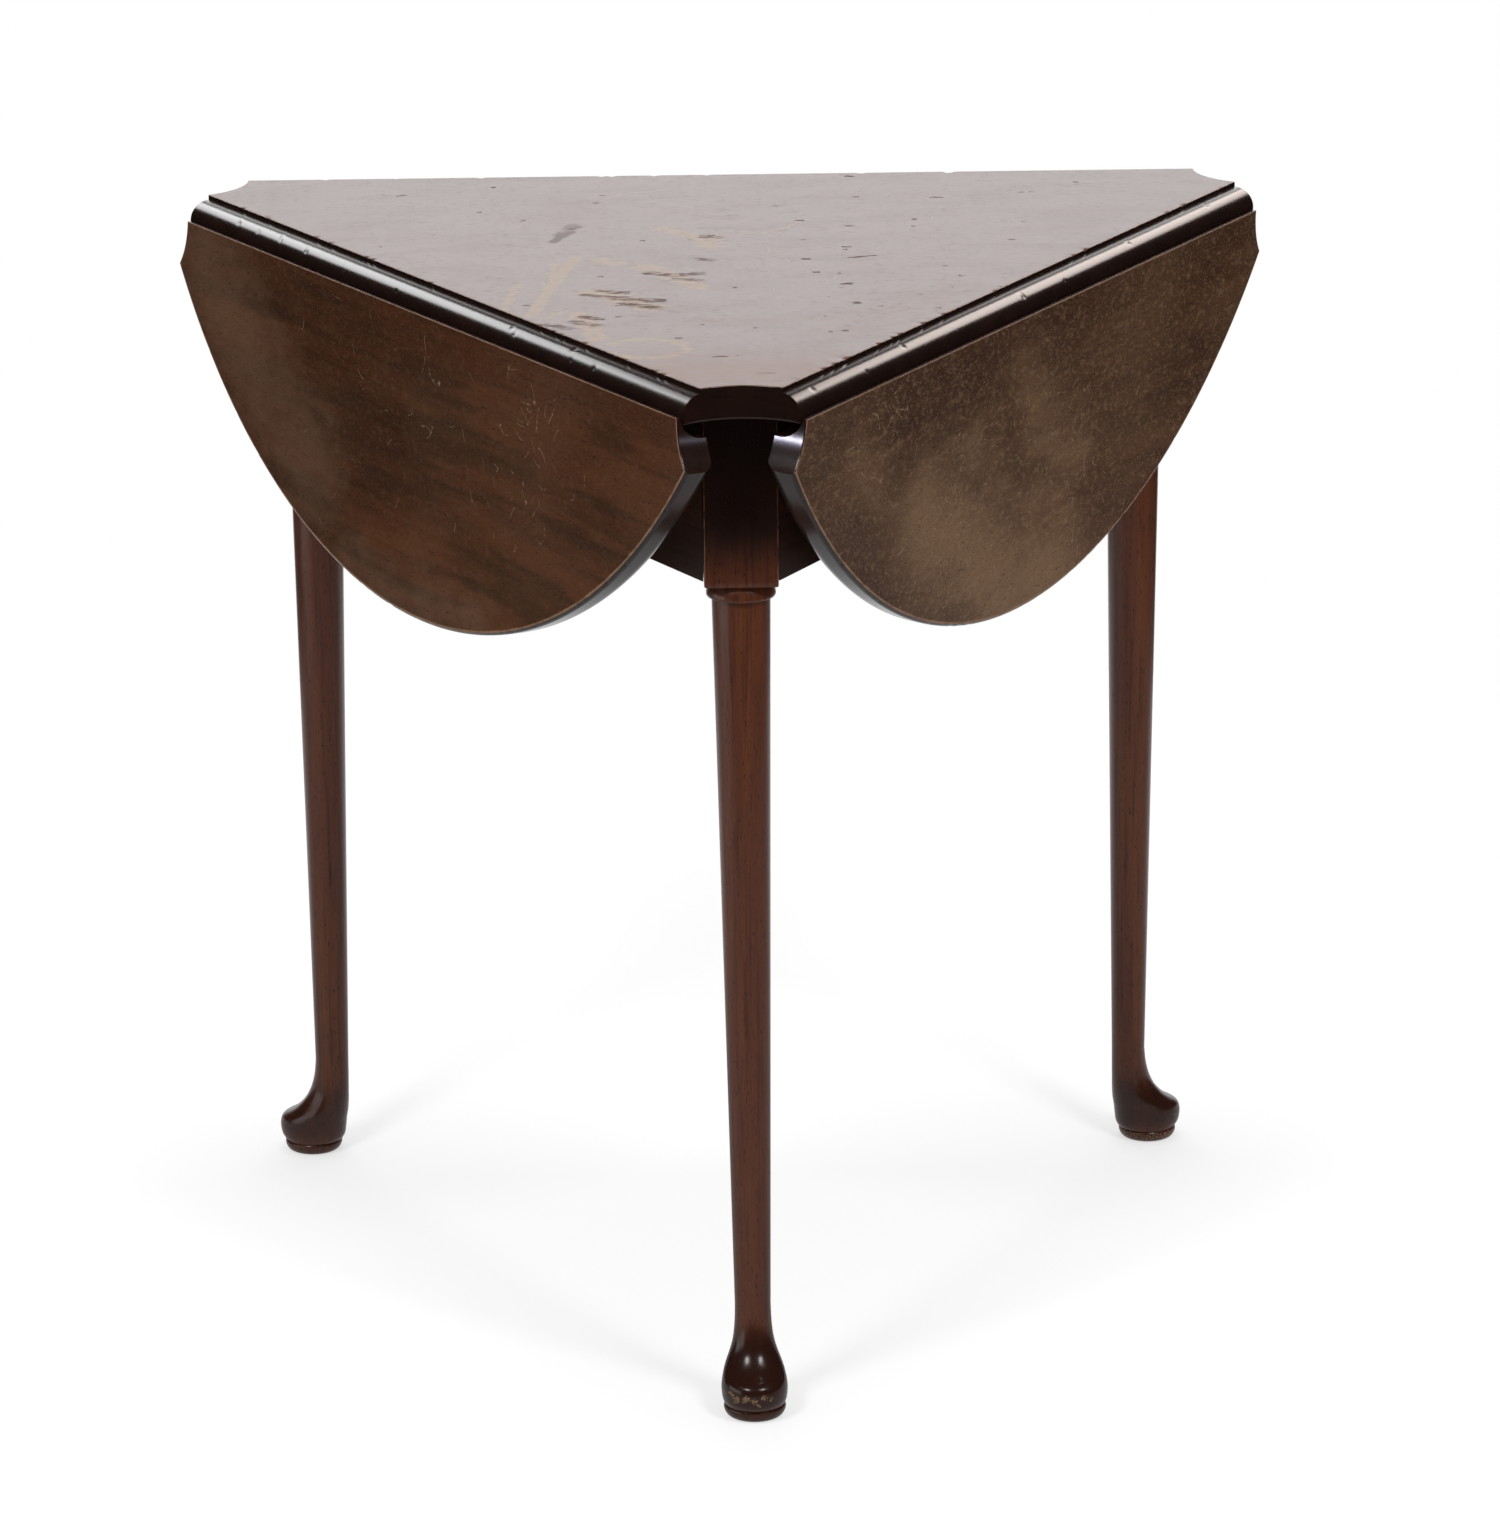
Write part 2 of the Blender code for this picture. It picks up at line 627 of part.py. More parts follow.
def make_bearer(rails):
    bottom = APRON_TOP - BEARER_THICKNESS
    mesh = outline_mesh("pivot_bearer", bearer_outline(0), bottom, APRON_TOP)
    bearer = add_part("pivot_bearer", mesh, pine, table)
    low = bottom - CUT_OVERRUN
    high = APRON_TOP + CUT_OVERRUN
    bore = cylinder_mesh("bore", BOLT_RADIUS + JOINT_CLEARANCE, low, high, ROUND_SEGMENTS)
    boolean(bearer, add_cutter("bearer_bore", bore, table))
    housing = outline_mesh("housing", bearer_outline(SEAT_GAP), bottom - SEAT_GAP, APRON_TOP + CUT_OVERRUN)
    cutter = add_cutter("bearer_housing", housing, table)
    for side in ("left", "right"):
        boolean(rails[side], cutter)


def glue_block_half_width(radius):
    """Half the space between the two rails' inner faces, at a radius from the table axis."""
    return (RAIL_INNER_RADIUS - SEAT_GAP - radius * SIDE_COSINE) / SIDE_SINE


def make_glue_block(name, empty):
    front = BLOCK_BACK_RADIUS - SEAT_GAP
    back = front - GLUE_BLOCK_DEPTH
    middle = (APRON_BOTTOM + APRON_TOP) / 2
    half = GLUE_BLOCK_HEIGHT / 2
    outline = []
    for radius, sign in ((back, -1), (front, -1), (front, 1), (back, 1)):
        outline.append((radius - LEG_AXIS_RADIUS, sign * glue_block_half_width(radius)))
    add_part(name, outline_mesh(name, outline, middle - half, middle + half), pine, empty)


def make_stand():
    for name, degrees in LEG_DEGREES.items():
        turn = math.radians(degrees)
        place = (LEG_AXIS_RADIUS * math.cos(turn), LEG_AXIS_RADIUS * math.sin(turn), 0)
        empty = add_empty("leg_axis_" + name, table, place, (0, 0, turn))
        make_leg("leg_" + name, empty)
        make_glue_block("glue_block_" + name, empty)
    rails = {}
    for side, degrees in SIDE_DEGREES.items():
        empty = add_empty("stand_side_" + side, table, rotation=(0, 0, math.radians(degrees)))
        rails[side] = make_rail(side, empty)
    make_bearer(rails)


# Pivot of the top: a bolt driven up into the top, through the bearer, with washer and nut


def make_pivot(board):
    bolt_top = TOP_UNDERSIDE + BOLT_DEPTH
    washer_top = APRON_TOP - BEARER_THICKNESS - SEAT_GAP
    washer_bottom = washer_top - WASHER_THICKNESS
    nut_top = washer_bottom - SEAT_GAP
    nut_bottom = nut_top - NUT_THICKNESS
    bolt_bottom = nut_bottom - BOLT_TAIL
    profile = [
        (0, bolt_top),
        (BOLT_RADIUS / 2, bolt_top),
        (BOLT_RADIUS, bolt_top - BOLT_POINT),
        (BOLT_RADIUS, bolt_bottom + SEAT_GAP),
        (BOLT_RADIUS - SEAT_GAP, bolt_bottom),
        (0, bolt_bottom),
    ]
    smooth(add_part("pivot_bolt", turned_mesh("bolt", profile, ROUND_SEGMENTS), bolt_steel, table))
    bore_radius = BOLT_RADIUS + SEAT_GAP
    washer = cylinder_mesh("washer", WASHER_RADIUS, washer_bottom, washer_top, ROUND_SEGMENTS)
    washer = add_part("pivot_washer", washer, washer_steel, table)
    nut = add_part("pivot_nut", cylinder_mesh("nut", NUT_RADIUS, nut_bottom, nut_top, 6), nut_steel, table)
    low = bolt_bottom - CUT_OVERRUN
    bore = cylinder_mesh("bore", bore_radius, low, bolt_top + SEAT_GAP, ROUND_SEGMENTS)
    cutter = add_cutter("bolt_bore", bore, table)
    for piece in (board, washer, nut):
        boolean(piece, cutter)
    smooth(washer)
    smooth(nut)


# Whole table


def centre_on_origin():
    """Moves the table so that the middle of its box's base is at the origin."""
    bpy.context.view_layer.update()
    graph = bpy.context.evaluated_depsgraph_get()
    corners = []
    for obj in parts.objects:
        if obj.type == "MESH":
            evaluated = obj.evaluated_get(graph)
            corners += [evaluated.matrix_world @ vertex.co for vertex in evaluated.data.vertices]
    lows = [min(corner[axis] for corner in corners) for axis in range(3)]
    highs = [max(corner[axis] for corner in corners) for axis in range(3)]
    table.location = (-(lows[0] + highs[0]) / 2, -(lows[1] + highs[1]) / 2, -lows[2])
    bpy.context.view_layer.update()
    print("table axis at", tuple(round(value, 6) for value in table.location))


clear_scene()
parts = new_collection("triangular_drop_leaf_table")
cutters = new_collection("cutters")
mahogany_top = new_material("mahogany_top", (0.085, 0.034, 0.022), 0.30)
mahogany_leaf = new_material("mahogany_leaf", (0.070, 0.030, 0.017), 0.38)
mahogany_leg = new_material("mahogany_leg", (0.090, 0.028, 0.016), 0.32)
mahogany_rail = new_material("mahogany_rail", (0.060, 0.022, 0.014), 0.42)
pine = new_material("pine", (0.42, 0.26, 0.13), 0.65)
hinge_brass = new_material("hinge_brass", (0.36, 0.25, 0.10), 0.42, 1.0)
screw_brass = new_material("screw_brass", (0.42, 0.29, 0.12), 0.38, 1.0)
pin_steel = new_material("pin_steel", (0.42, 0.41, 0.40), 0.35, 1.0)
bolt_steel = new_material("bolt_steel", (0.38, 0.37, 0.36), 0.40, 1.0)
nut_steel = new_material("nut_steel", (0.40, 0.37, 0.31), 0.42, 1.0)
washer_steel = new_material("washer_steel", (0.45, 0.44, 0.43), 0.38, 1.0)

table = add_empty("table_axis")
side_empties = {}
flap_screw_holes = {}
for side, degrees in SIDE_DEGREES.items():
    turn = math.radians(degrees)
    place = (TOP_INRADIUS * math.cos(turn), TOP_INRADIUS * math.sin(turn), PIN_HEIGHT)
    side_empties[side] = add_empty("hinge_line_" + side, table, place, (0, 0, turn))
    flap_screw_holes[side] = make_top_hardware(side, side_empties[side])
    hang = math.radians(90 - HANG_DEGREES[side])
    leaf_axis = add_empty("leaf_axis_" + side, side_empties[side], rotation=(0, hang, 0))
    make_leaf_hardware(side, leaf_axis, make_leaf(side, leaf_axis))
top_board = make_top(side_empties, flap_screw_holes)
make_pivot(top_board)
make_stand()
centre_on_origin()
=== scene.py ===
# Triangular drop-leaf table in old polished mahogany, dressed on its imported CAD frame
from itertools import product
from math import acos, asin, cos, degrees, hypot, pi, radians, sin, sqrt

import bpy
import numpy as np
from mathutils import Matrix, Vector
from mathutils.geometry import delaunay_2d_cdt


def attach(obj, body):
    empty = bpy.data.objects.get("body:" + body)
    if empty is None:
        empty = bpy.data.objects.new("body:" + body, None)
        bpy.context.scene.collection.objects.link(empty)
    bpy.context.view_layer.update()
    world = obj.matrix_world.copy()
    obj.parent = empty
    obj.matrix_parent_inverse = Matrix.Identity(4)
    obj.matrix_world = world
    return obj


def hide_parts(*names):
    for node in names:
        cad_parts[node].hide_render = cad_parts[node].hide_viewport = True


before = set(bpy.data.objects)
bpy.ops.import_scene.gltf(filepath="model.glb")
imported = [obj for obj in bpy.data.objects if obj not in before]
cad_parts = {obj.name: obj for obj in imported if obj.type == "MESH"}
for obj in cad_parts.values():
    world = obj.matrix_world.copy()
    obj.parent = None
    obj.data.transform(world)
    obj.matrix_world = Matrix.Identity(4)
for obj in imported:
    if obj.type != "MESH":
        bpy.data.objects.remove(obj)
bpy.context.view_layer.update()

print("frame loaded")

# Sizes shared by every piece, in metres, the same as the CAD's
table = {
    "axis": (0.001663, 0.089229),  # where the top turns, in the row frame
    "height": 0.700,
    "thickness": 0.0215,
    "inradius": 0.220,  # table axis to the fillet edges
    "rim": 0.426,  # table axis to a raised leaf's rim
    "scoop": 0.051,  # hollow at each corner
    "fillet": 0.0035,
    "ovolo": 0.0135,
    "gap": 0.0005,
    "sides": {"back": 90, "left": 210, "right": 330},
    "hang": {"back": -4.2, "left": 2.6, "right": -4.2},
    "legs": {"front": 270, "right": 30, "left": 150},
    "legAxis": 0.3294968,
    "block": 0.047,
    "apronTop": 0.6782,
    "apronBottom": 0.5615,
}
pinDrop = table["fillet"] + table["ovolo"]
pinHeight = table["height"] - pinDrop
under = table["thickness"] - pinDrop  # hinge pin down to the boards' undersides
corner = table["inradius"] * sqrt(3)  # middle of a side to the middle of a scoop
tableMatrix = Matrix.Translation((*table["axis"], 0))
sideMatrix = {}
leafMatrix = {}
for side, facing in table["sides"].items():
    turn = Matrix.Rotation(radians(facing), 4, "Z")
    sideMatrix[side] = tableMatrix @ turn @ Matrix.Translation((table["inradius"], 0, pinHeight))
    leafMatrix[side] = sideMatrix[side] @ Matrix.Rotation(radians(90 - table["hang"][side]), 4, "Y")


# Materials


def linear(shade):
    values = [int(shade[i:i + 2], 16) / 255 for i in (1, 3, 5)]
    return [v / 12.92 if v <= 0.04045 else ((v + 0.055) / 1.055) ** 2.4 for v in values] + [1]


def feed(tree, socket, value):
    if isinstance(value, bpy.types.NodeSocket):
        tree.links.new(value, socket)
    else:
        socket.default_value = value


def addNode(tree, kind, inputs={}, **settings):
    node = tree.nodes.new("ShaderNode" + kind)
    for name, value in settings.items():
        setattr(node, name, value)
    for name, value in inputs.items():
        feed(tree, node.inputs[name], value)
    return node


def newMaterial(name):
    material = bpy.data.materials.new(name)
    material.use_nodes = True
    tree = material.node_tree
    return material, tree, addNode(tree, "TexCoord").outputs["Object"]


def noisePattern(tree, spot, length, width, detail):
    # noise drawn out along X, its size in millimetres
    scale = (1000 / length, 1000 / width, 1000 / width)
    drawnOut = addNode(tree, "Mapping", {"Vector": spot, "Scale": scale})
    noise = addNode(tree, "TexNoise", {"Vector": drawnOut.outputs[0], "Scale": 1.0, "Detail": detail})
    return noise.outputs[0]


def makeSurface(name, look):
    # look["grain"]: millimetres along and across the grain, and detail, of each pattern
    # look["marks"]: the wear attribute's channels, with the size along and across the grain of the
    # speckles that break each one up, and how strongly they do
    # look["layers"]: pattern, colour, where it starts and is full, strength, roughness, depth in millimetres
    material, tree, spot = newMaterial(name)
    turned = addNode(tree, "Mapping", {"Vector": spot, "Rotation": [radians(a) for a in look["turn"]]})
    wavelength, swing = look["sway"]
    sway = addNode(tree, "TexNoise", {"Vector": turned.outputs[0], "Scale": 1000 / wavelength, "Detail": 1.0})
    bent = {0: sway.outputs["Color"], 1: [swing / 1000] * 3, 2: turned.outputs[0]}
    swayed = addNode(tree, "VectorMath", bent, operation="MULTIPLY_ADD")
    patterns = {}
    for part, size in look["grain"].items():
        patterns[part] = noisePattern(tree, swayed.outputs[0], *size)
    if "marks" in look:
        wear = addNode(tree, "Attribute", attribute_name="wear")
        split = addNode(tree, "SeparateColor", {"Color": wear.outputs["Color"]})
        channels = dict(zip(("scuff", "chip", "stain"), split.outputs), arris=wear.outputs["Alpha"])
        for part, (length, width, ragged) in look["marks"].items():
            speckle = noisePattern(tree, turned.outputs[0], length, width, 4.0)
            broken = {0: speckle, 1: ragged, 2: channels[part]}
            patterns[part] = addNode(tree, "Math", broken, operation="MULTIPLY_ADD").outputs[0]
    colour, rough, height = linear(look["base"]), look["rough"], 0.0
    for layer in look["layers"]:
        part, shade, (start, full), strength, roughness, depth = (*layer, None, None)[:6]
        band = {"Value": patterns[part], "From Min": start, "From Max": full, "To Max": strength}
        mask = addNode(tree, "MapRange", band, interpolation_type="SMOOTHSTEP").outputs[0]
        if shade:
            colour = addNode(tree, "Mix", {0: mask, 6: colour, 7: linear(shade)}, data_type="RGBA").outputs[2]
        if roughness:
            rough = addNode(tree, "Mix", {0: mask, 2: rough, 3: roughness}).outputs[0]
        if depth:
            sunk = {0: mask, 1: -depth / 1000, 2: height}
            height = addNode(tree, "Math", sunk, operation="MULTIPLY_ADD").outputs[0]
    bump = addNode(tree, "Bump", {"Height": height, "Distance": 1.0, "Strength": 1.0})
    inputs = {"Base Color": colour, "Roughness": rough, "Normal": bump.outputs[0], **look["shader"]}
    for socket, value in inputs.items():
        feed(tree, tree.nodes["Principled BSDF"].inputs[socket], value)
    return material


alongX, alongY, alongZ = (0, 0, 0), (0, 0, -90), (0, 90, 0)  # turns that lay the grain on X

# Polished mahogany, shellac over filled grain: the satin film mirrors the pale room at a low
# angle, so the brown only shows through it, and rubbed patches lose the film and turn tan
polishedTop = makeSurface("mahogany_polished_top", {
    "turn": alongX,
    "base": "#542b20",
    "rough": 0.30,
    "sway": (260, 7),
    "grain": {
        "figure": (420, 38, 3.0),
        "streak": (150, 4.0, 2.0),
        "fibre": (22, 0.9, 2.0),
        "pore": (6.0, 0.8, 1.0),  # real pores are 0.2 mm wide, drawn coarser so that they show
        "film": (70, 26, 4.0),
    },
    "marks": {"scuff": (8, 5, 1.8), "chip": (10, 2.0, 1.7), "stain": (10, 6, 0.9), "arris": (11, 4, 1.2)},
    "layers": [
        ("figure", "#573123", (0.40, 0.62), 0.4),
        ("streak", "#38201a", (0.50, 0.72), 0.4),
        ("fibre", "#6b4230", (0.52, 0.75), 0.35),
        ("film", None, (0.40, 0.7), 1.0, 0.315),
        ("pore", "#24130f", (0.64, 0.74), 0.7, 0.42, 0.05),
        ("stain", "#4e271b", (0.98, 1.35), 0.8, 0.44),
        ("scuff", "#957a62", (1.08, 1.75), 0.85, 0.38),
        ("chip", "#50291a", (1.41, 1.55), 0.9, 0.62, 0.06),
        ("arris", "#74462a", (0.75, 1.25), 0.8, 0.37),
        ("arris", "#8d6145", (1.25, 1.80), 0.6, 0.40),
    ],
    "shader": {"IOR": 1.5},
})

# Darkened, French-polished moulding: nearly black brown and glossy, with orange wood at worn arrises
edgeLook = {
    "turn": alongX,
    "base": "#22120c",
    "rough": 0.24,
    "sway": (200, 6),
    "grain": {"figure": (160, 20, 2.0), "streak": (90, 2.5, 2.0), "pore": (5.0, 0.8, 1.0)},
    "marks": {"chip": (2.5, 2.0, 0.6), "arris": (12, 4, 1.4)},
    "layers": [
        ("figure", "#2b1610", (0.4, 0.65), 0.8),
        ("streak", "#130907", (0.5, 0.7), 0.5, None, 0.008),
        ("pore", "#0f0705", (0.62, 0.72), 0.4, 0.3, 0.01),
        ("arris", "#8a6149", (1.35, 2.00), 0.7, 0.38),
        ("chip", "#150a07", (0.75, 1.0), 0.9, 0.6, 0.08),
    ],
    "shader": {"IOR": 1.5, "Coat Weight": 0.5, "Coat Roughness": 0.16},
}
polishedEdge = makeSurface("mahogany_polished_moulding", edgeLook)
# the leaves' rims have the same colour under a thinner last coat, so they mirror less of the floor
polishedRim = makeSurface("mahogany_polished_leaf_rim", {
    **edgeLook,
    "rough": 0.21,
    "shader": {"IOR": 1.5, "Coat Weight": 0.2, "Coat Roughness": 0.12},
})

# Wax-dull mahogany of the leaves: little gloss face on, clouded by old wax and fine scratches
leafLooks = {
    "left": {
        "base": "#522d17", "cloud": "#35200f", "light": "#704120", "patch": "#35230f", "haze": "#8a6b54",
        "veil": 0.12, "blotch": 0.60, "grit": 0.16,
    },
    "right": {
        "base": "#4a2d1e", "cloud": "#3a1e14", "light": "#66422a", "patch": "#9a7656", "haze": "#ab8a66",
        "veil": 0.10, "blotch": 0.50, "grit": 0.34,
    },
    "back": {
        "base": "#4f3020", "cloud": "#362016", "light": "#684029", "patch": "#36200f", "haze": "#8a7460",
        "veil": 0.12, "blotch": 0.50, "grit": 0.18,
    },
}
leafFace = {}
for side, tone in leafLooks.items():
    leafFace[side] = makeSurface("mahogany_waxed_leaf_" + side, {
        "turn": alongY,
        "base": tone["base"],
        "rough": 0.46,
        "sway": (230, 16),
        "grain": {
            "figure": (330, 46, 3.0),
            "streak": (170, 5.0, 3.0),
            "fibre": (26, 1.0, 2.0),
            "pore": (5.0, 0.8, 1.0),
            "blotch": (150, 17, 4.0),
            "veil": (120, 90, 4.0),
            "bloom": (7, 5, 5.0),
            "grit": (2.2, 1.5, 3.0),
        },
        "marks": {"scuff": (6, 6, 0.25), "chip": (26, 16, 0.8), "stain": (48, 20, 0.7), "arris": (14, 6, 1)},
        "layers": [
            ("figure", tone["light"], (0.46, 0.70), 0.6),
            ("streak", tone["cloud"], (0.50, 0.74), 0.5),
            ("fibre", tone["light"], (0.52, 0.78), 0.4),
            ("blotch", tone["cloud"], (0.50, 0.66), tone["blotch"]),
            ("stain", tone["patch"], (0.37, 1.40), 0.70),
            ("veil", tone["haze"], (0.42, 0.75), tone["veil"], 0.55),
            ("chip", tone["haze"], (0.50, 1.30), 0.38),
            ("bloom", tone["haze"], (0.50, 0.72), tone["grit"] * 0.7),
            ("grit", tone["haze"], (0.50, 0.70), tone["grit"]),
            ("pore", "#1a0e09", (0.64, 0.74), 0.75, 0.6, 0.05),
            ("scuff", "#b59b80", (0.45, 0.95), 0.6, 0.6),
            ("arris", "#ab8468", (1.05, 1.60), 0.8, 0.5),
        ],
        "shader": {"IOR": 1.45, "Specular IOR Level": 0.22},
    })

# Backs of the boards: planed, stained and never polished, so duller and drier
plainUnder = {}
for board, turn in (("top", alongX), ("leaf", alongY)):
    plainUnder[board] = makeSurface("mahogany_planed_" + board + "_underside", {
        "turn": turn,
        "base": "#452a1d",
        "rough": 0.62,
        "sway": (240, 14),
        "grain": {"figure": (380, 40, 3), "streak": (140, 4, 3), "fibre": (24, 1.1, 2), "pore": (6, 0.8, 1)},
        "layers": [
            ("figure", "#5c3a27", (0.42, 0.66), 0.8),
            ("streak", "#2f1c14", (0.48, 0.72), 0.6),
            ("fibre", "#6d4932", (0.5, 0.75), 0.35),
            ("pore", "#1c100b", (0.63, 0.73), 0.7, 0.7, 0.06),
        ],
        "shader": {"IOR": 1.45, "Specular IOR Level": 0.3},
    })

# Turned and polished mahogany: red brown satin, the grain running down the leg, darker in the foot, with
# painted shade darkening the block under the top
turnedLeg = makeSurface("mahogany_turned_leg", {
    "turn": alongZ,
    "base": "#60311d",
    "rough": 0.34,
    "sway": (300, 7),
    "grain": {"figure": (300, 16, 3), "streak": (120, 2.6, 3), "fibre": (24, 0.9, 2), "pore": (4.5, 0.7, 1)},
    "marks": {"scuff": (1.1, 0.9, 1.6), "chip": (30, 14, 0.5), "stain": (14, 10, 0.5), "arris": (12, 8, 1)},
    "layers": [
        ("figure", "#764020", (0.45, 0.70), 0.6),
        ("streak", "#3f1d12", (0.48, 0.70), 0.6),
        ("fibre", "#774730", (0.52, 0.76), 0.4),
        # old dark polish in the foot, and painted shade on the block's upper part under the top
        ("stain", "#2f1711", (0.20, 1.25), 0.95, 0.22),
        ("pore", "#1e0e09", (0.63, 0.73), 0.8, 0.5, 0.05),
        # dark nicks, and deeper painted shade on the block's upper part under the top
        ("chip", "#25130d", (0.25, 1.2), 0.88),
        ("scuff", "#a9835f", (1.50, 1.72), 0.7, 0.50, 0.08),
        ("arris", "#9a6340", (1.05, 1.45), 0.75, 0.42),
    ],
    "shader": {"IOR": 1.5, "Specular IOR Level": 0.32, "Coat Weight": 0.3, "Coat Roughness": 0.15},
})

# Stained mahogany of the apron: the same wood, less polished because the top shades it
stainedRail = {}
for side, angle in (("back", 0), ("left", 120), ("right", 60)):
    stainedRail[side] = makeSurface("mahogany_stained_rail_" + side, {
        "turn": (0, 0, -angle),
        "base": "#3f2218",
        "rough": 0.45,
        "sway": (260, 10),
        "grain": {"figure": (300, 24, 3.0), "streak": (120, 3.0, 3.0), "pore": (5.0, 0.8, 1.0)},
        "layers": [
            ("figure", "#552e1f", (0.44, 0.68), 0.8),
            ("streak", "#2a150e", (0.48, 0.7), 0.6),
            ("pore", "#1a0d09", (0.63, 0.73), 0.7, 0.6, 0.05),
        ],
        "shader": {"IOR": 1.5, "Specular IOR Level": 0.4},
    })

# Sawn pine that has aged to honey brown: wide soft grain, dry and matt
sawnPine = {}
for name, turn in (("upright", alongZ), ("crosswise", alongX)):
    sawnPine[name] = makeSurface("pine_sawn_" + name, {
        "turn": turn,
        "base": "#a67c4d",
        "rough": 0.78,
        "sway": (150, 9),
        "grain": {"ring": (260, 7, 2), "saw": (2.2, 30, 1), "fibre": (30, 0.8, 2), "dirt": (40, 30, 4)},
        "layers": [
            ("ring", "#7f5830", (0.48, 0.62), 0.7),
            ("fibre", "#bd9565", (0.5, 0.75), 0.4),
            ("saw", "#8d6740", (0.5, 0.7), 0.3, 0.85, 0.10),
            ("dirt", "#4f3b26", (0.45, 0.8), 0.6),
        ],
        "shader": {"IOR": 1.45, "Specular IOR Level": 0.3},
    })

# Cast brass left unlacquered: tarnished brown in the lows, rubbed yellow where it slides
agedBrass = makeSurface("brass_aged_hinge", {
    "turn": alongX,
    "base": "#a98c54",
    "rough": 0.38,
    "sway": (40, 2),
    "grain": {"tarnish": (14, 12, 5.0), "file": (20, 0.5, 2.0), "spot": (2.5, 2.2, 3.0)},
    "layers": [
        ("tarnish", "#5d4526", (0.40, 0.68), 0.85, 0.58),
        ("file", "#c4a566", (0.50, 0.75), 0.4, 0.30, 0.02),
        ("spot", "#3c2e1c", (0.60, 0.72), 0.7, 0.7, 0.03),
    ],
    "shader": {"Metallic": 1.0},
})

# Plain forged and drawn steel: grey, lightly browned by rust
agedSteel = makeSurface("steel_browned_bolt", {
    "turn": alongZ,
    "base": "#8b8782",
    "rough": 0.42,
    "sway": (30, 1),
    "grain": {"rust": (7, 6, 5.0), "draw": (25, 0.4, 2.0), "pit": (1.4, 1.2, 3.0)},
    "layers": [
        ("rust", "#5f4534", (0.48, 0.70), 0.8, 0.68),
        ("draw", "#a39e97", (0.5, 0.75), 0.4, 0.32, 0.01),
        ("pit", "#3f3229", (0.62, 0.74), 0.6, 0.75, 0.03),
    ],
    "shader": {"Metallic": 1.0},
})
print("materials made")


# Mesh helpers


def between(start, end, share):
    return start + (end - start) * share


def spun(x, y, turn):
    return x * cos(turn) - y * sin(turn), x * sin(turn) + y * cos(turn)


def addObject(name, data, matrix):
    obj = bpy.data.objects.new(name, data)
    bpy.context.scene.collection.objects.link(obj)
    obj.matrix_world = matrix
    return obj


def addPiece(name, points, faces, matrix, materials, slots=None, wear=None, smooth=True):
    mesh = bpy.data.meshes.new(name)
    mesh.from_pydata([tuple(p) for p in points], [], [tuple(f) for f in faces])
    for material in materials:
        mesh.materials.append(material)
    if slots is not None:
        mesh.polygons.foreach_set("material_index", slots)
    if wear is not None:
        layer = mesh.attributes.new("wear", "FLOAT_COLOR", "POINT")
        layer.data.foreach_set("color", np.clip(wear, 0, 1).astype(np.float32).ravel())
    mesh.update()
    if smooth:
        mesh.polygons.foreach_set("use_smooth", [True] * len(mesh.polygons))
        mesh.set_sharp_from_angle(angle=radians(38))
    return addObject(name, mesh, matrix)


def applyModifiers(obj):
    bpy.context.view_layer.update()
    graph = bpy.context.evaluated_depsgraph_get()
    mesh = bpy.data.meshes.new_from_object(obj.evaluated_get(graph))
    obj.modifiers.clear()
    obj.data = mesh


def cutBoxes(obj, boxes, frames=None):
    # boxes: lowest and highest corners, each cut once in every frame, which stand in obj's own
    points, faces = [], []
    for place in frames or [Matrix.Identity(4)]:
        for low, high in boxes:
            points += [place @ Vector(spot) for spot in product(*zip(low, high))]
    for first in range(0, len(points), 8):
        for quad in ((0, 1, 3, 2), (4, 6, 7, 5), (0, 4, 5, 1), (2, 3, 7, 6), (0, 2, 6, 4), (1, 5, 7, 3)):
            faces.append([first + i for i in quad])
    cutter = addPiece("cutter", points, faces, obj.matrix_world.copy(), obj.data.materials[-1:], smooth=False)
    cut = obj.modifiers.new("pockets", "BOOLEAN")
    cut.operation = "DIFFERENCE"
    cut.solver = "EXACT"
    cut.object = cutter
    applyModifiers(obj)
    bpy.data.objects.remove(cutter, do_unlink=True)


def strokeMask(points, strokes, cloudy=False):
    # strokes: width and strength, then the path, in millimetres in the face's own plane
    mask = np.zeros(len(points))
    spots = points[:, :2] * 1000
    for width, strength, path in strokes:
        path = np.array(path, float)
        if len(path) == 1:
            path = np.repeat(path, 2, axis=0)
        for start, end in zip(path, path[1:]):
            run = end - start
            share = np.clip(((spots - start) @ run) / max(run @ run, 1e-9), 0, 1)
            away = np.linalg.norm(spots - start - share[:, None] * run, axis=1)
            fall = np.exp(-((away / width) ** 2)) if cloudy else np.clip(1.5 - away / width, 0, 1)
            mask = np.maximum(mask, strength * fall)
    return mask


def strokePoints(strokes, step):
    # points on and beside each thin stroke, so that the mesh can carry it
    rows = []
    for width, strength, path in strokes:
        path = np.array(path, float)
        for start, end in zip(path, path[1:]):
            run = end - start
            length = max(hypot(*run), 1e-6)
            across = np.array((-run[1], run[0])) / length
            for share in np.linspace(0, 1, max(int(length / step), 1), endpoint=False):
                middle = start + share * run
                rows += [middle, middle + across * width * 1.5, middle - across * width * 1.5]
    return np.array(rows).reshape(-1, 2) / 1000


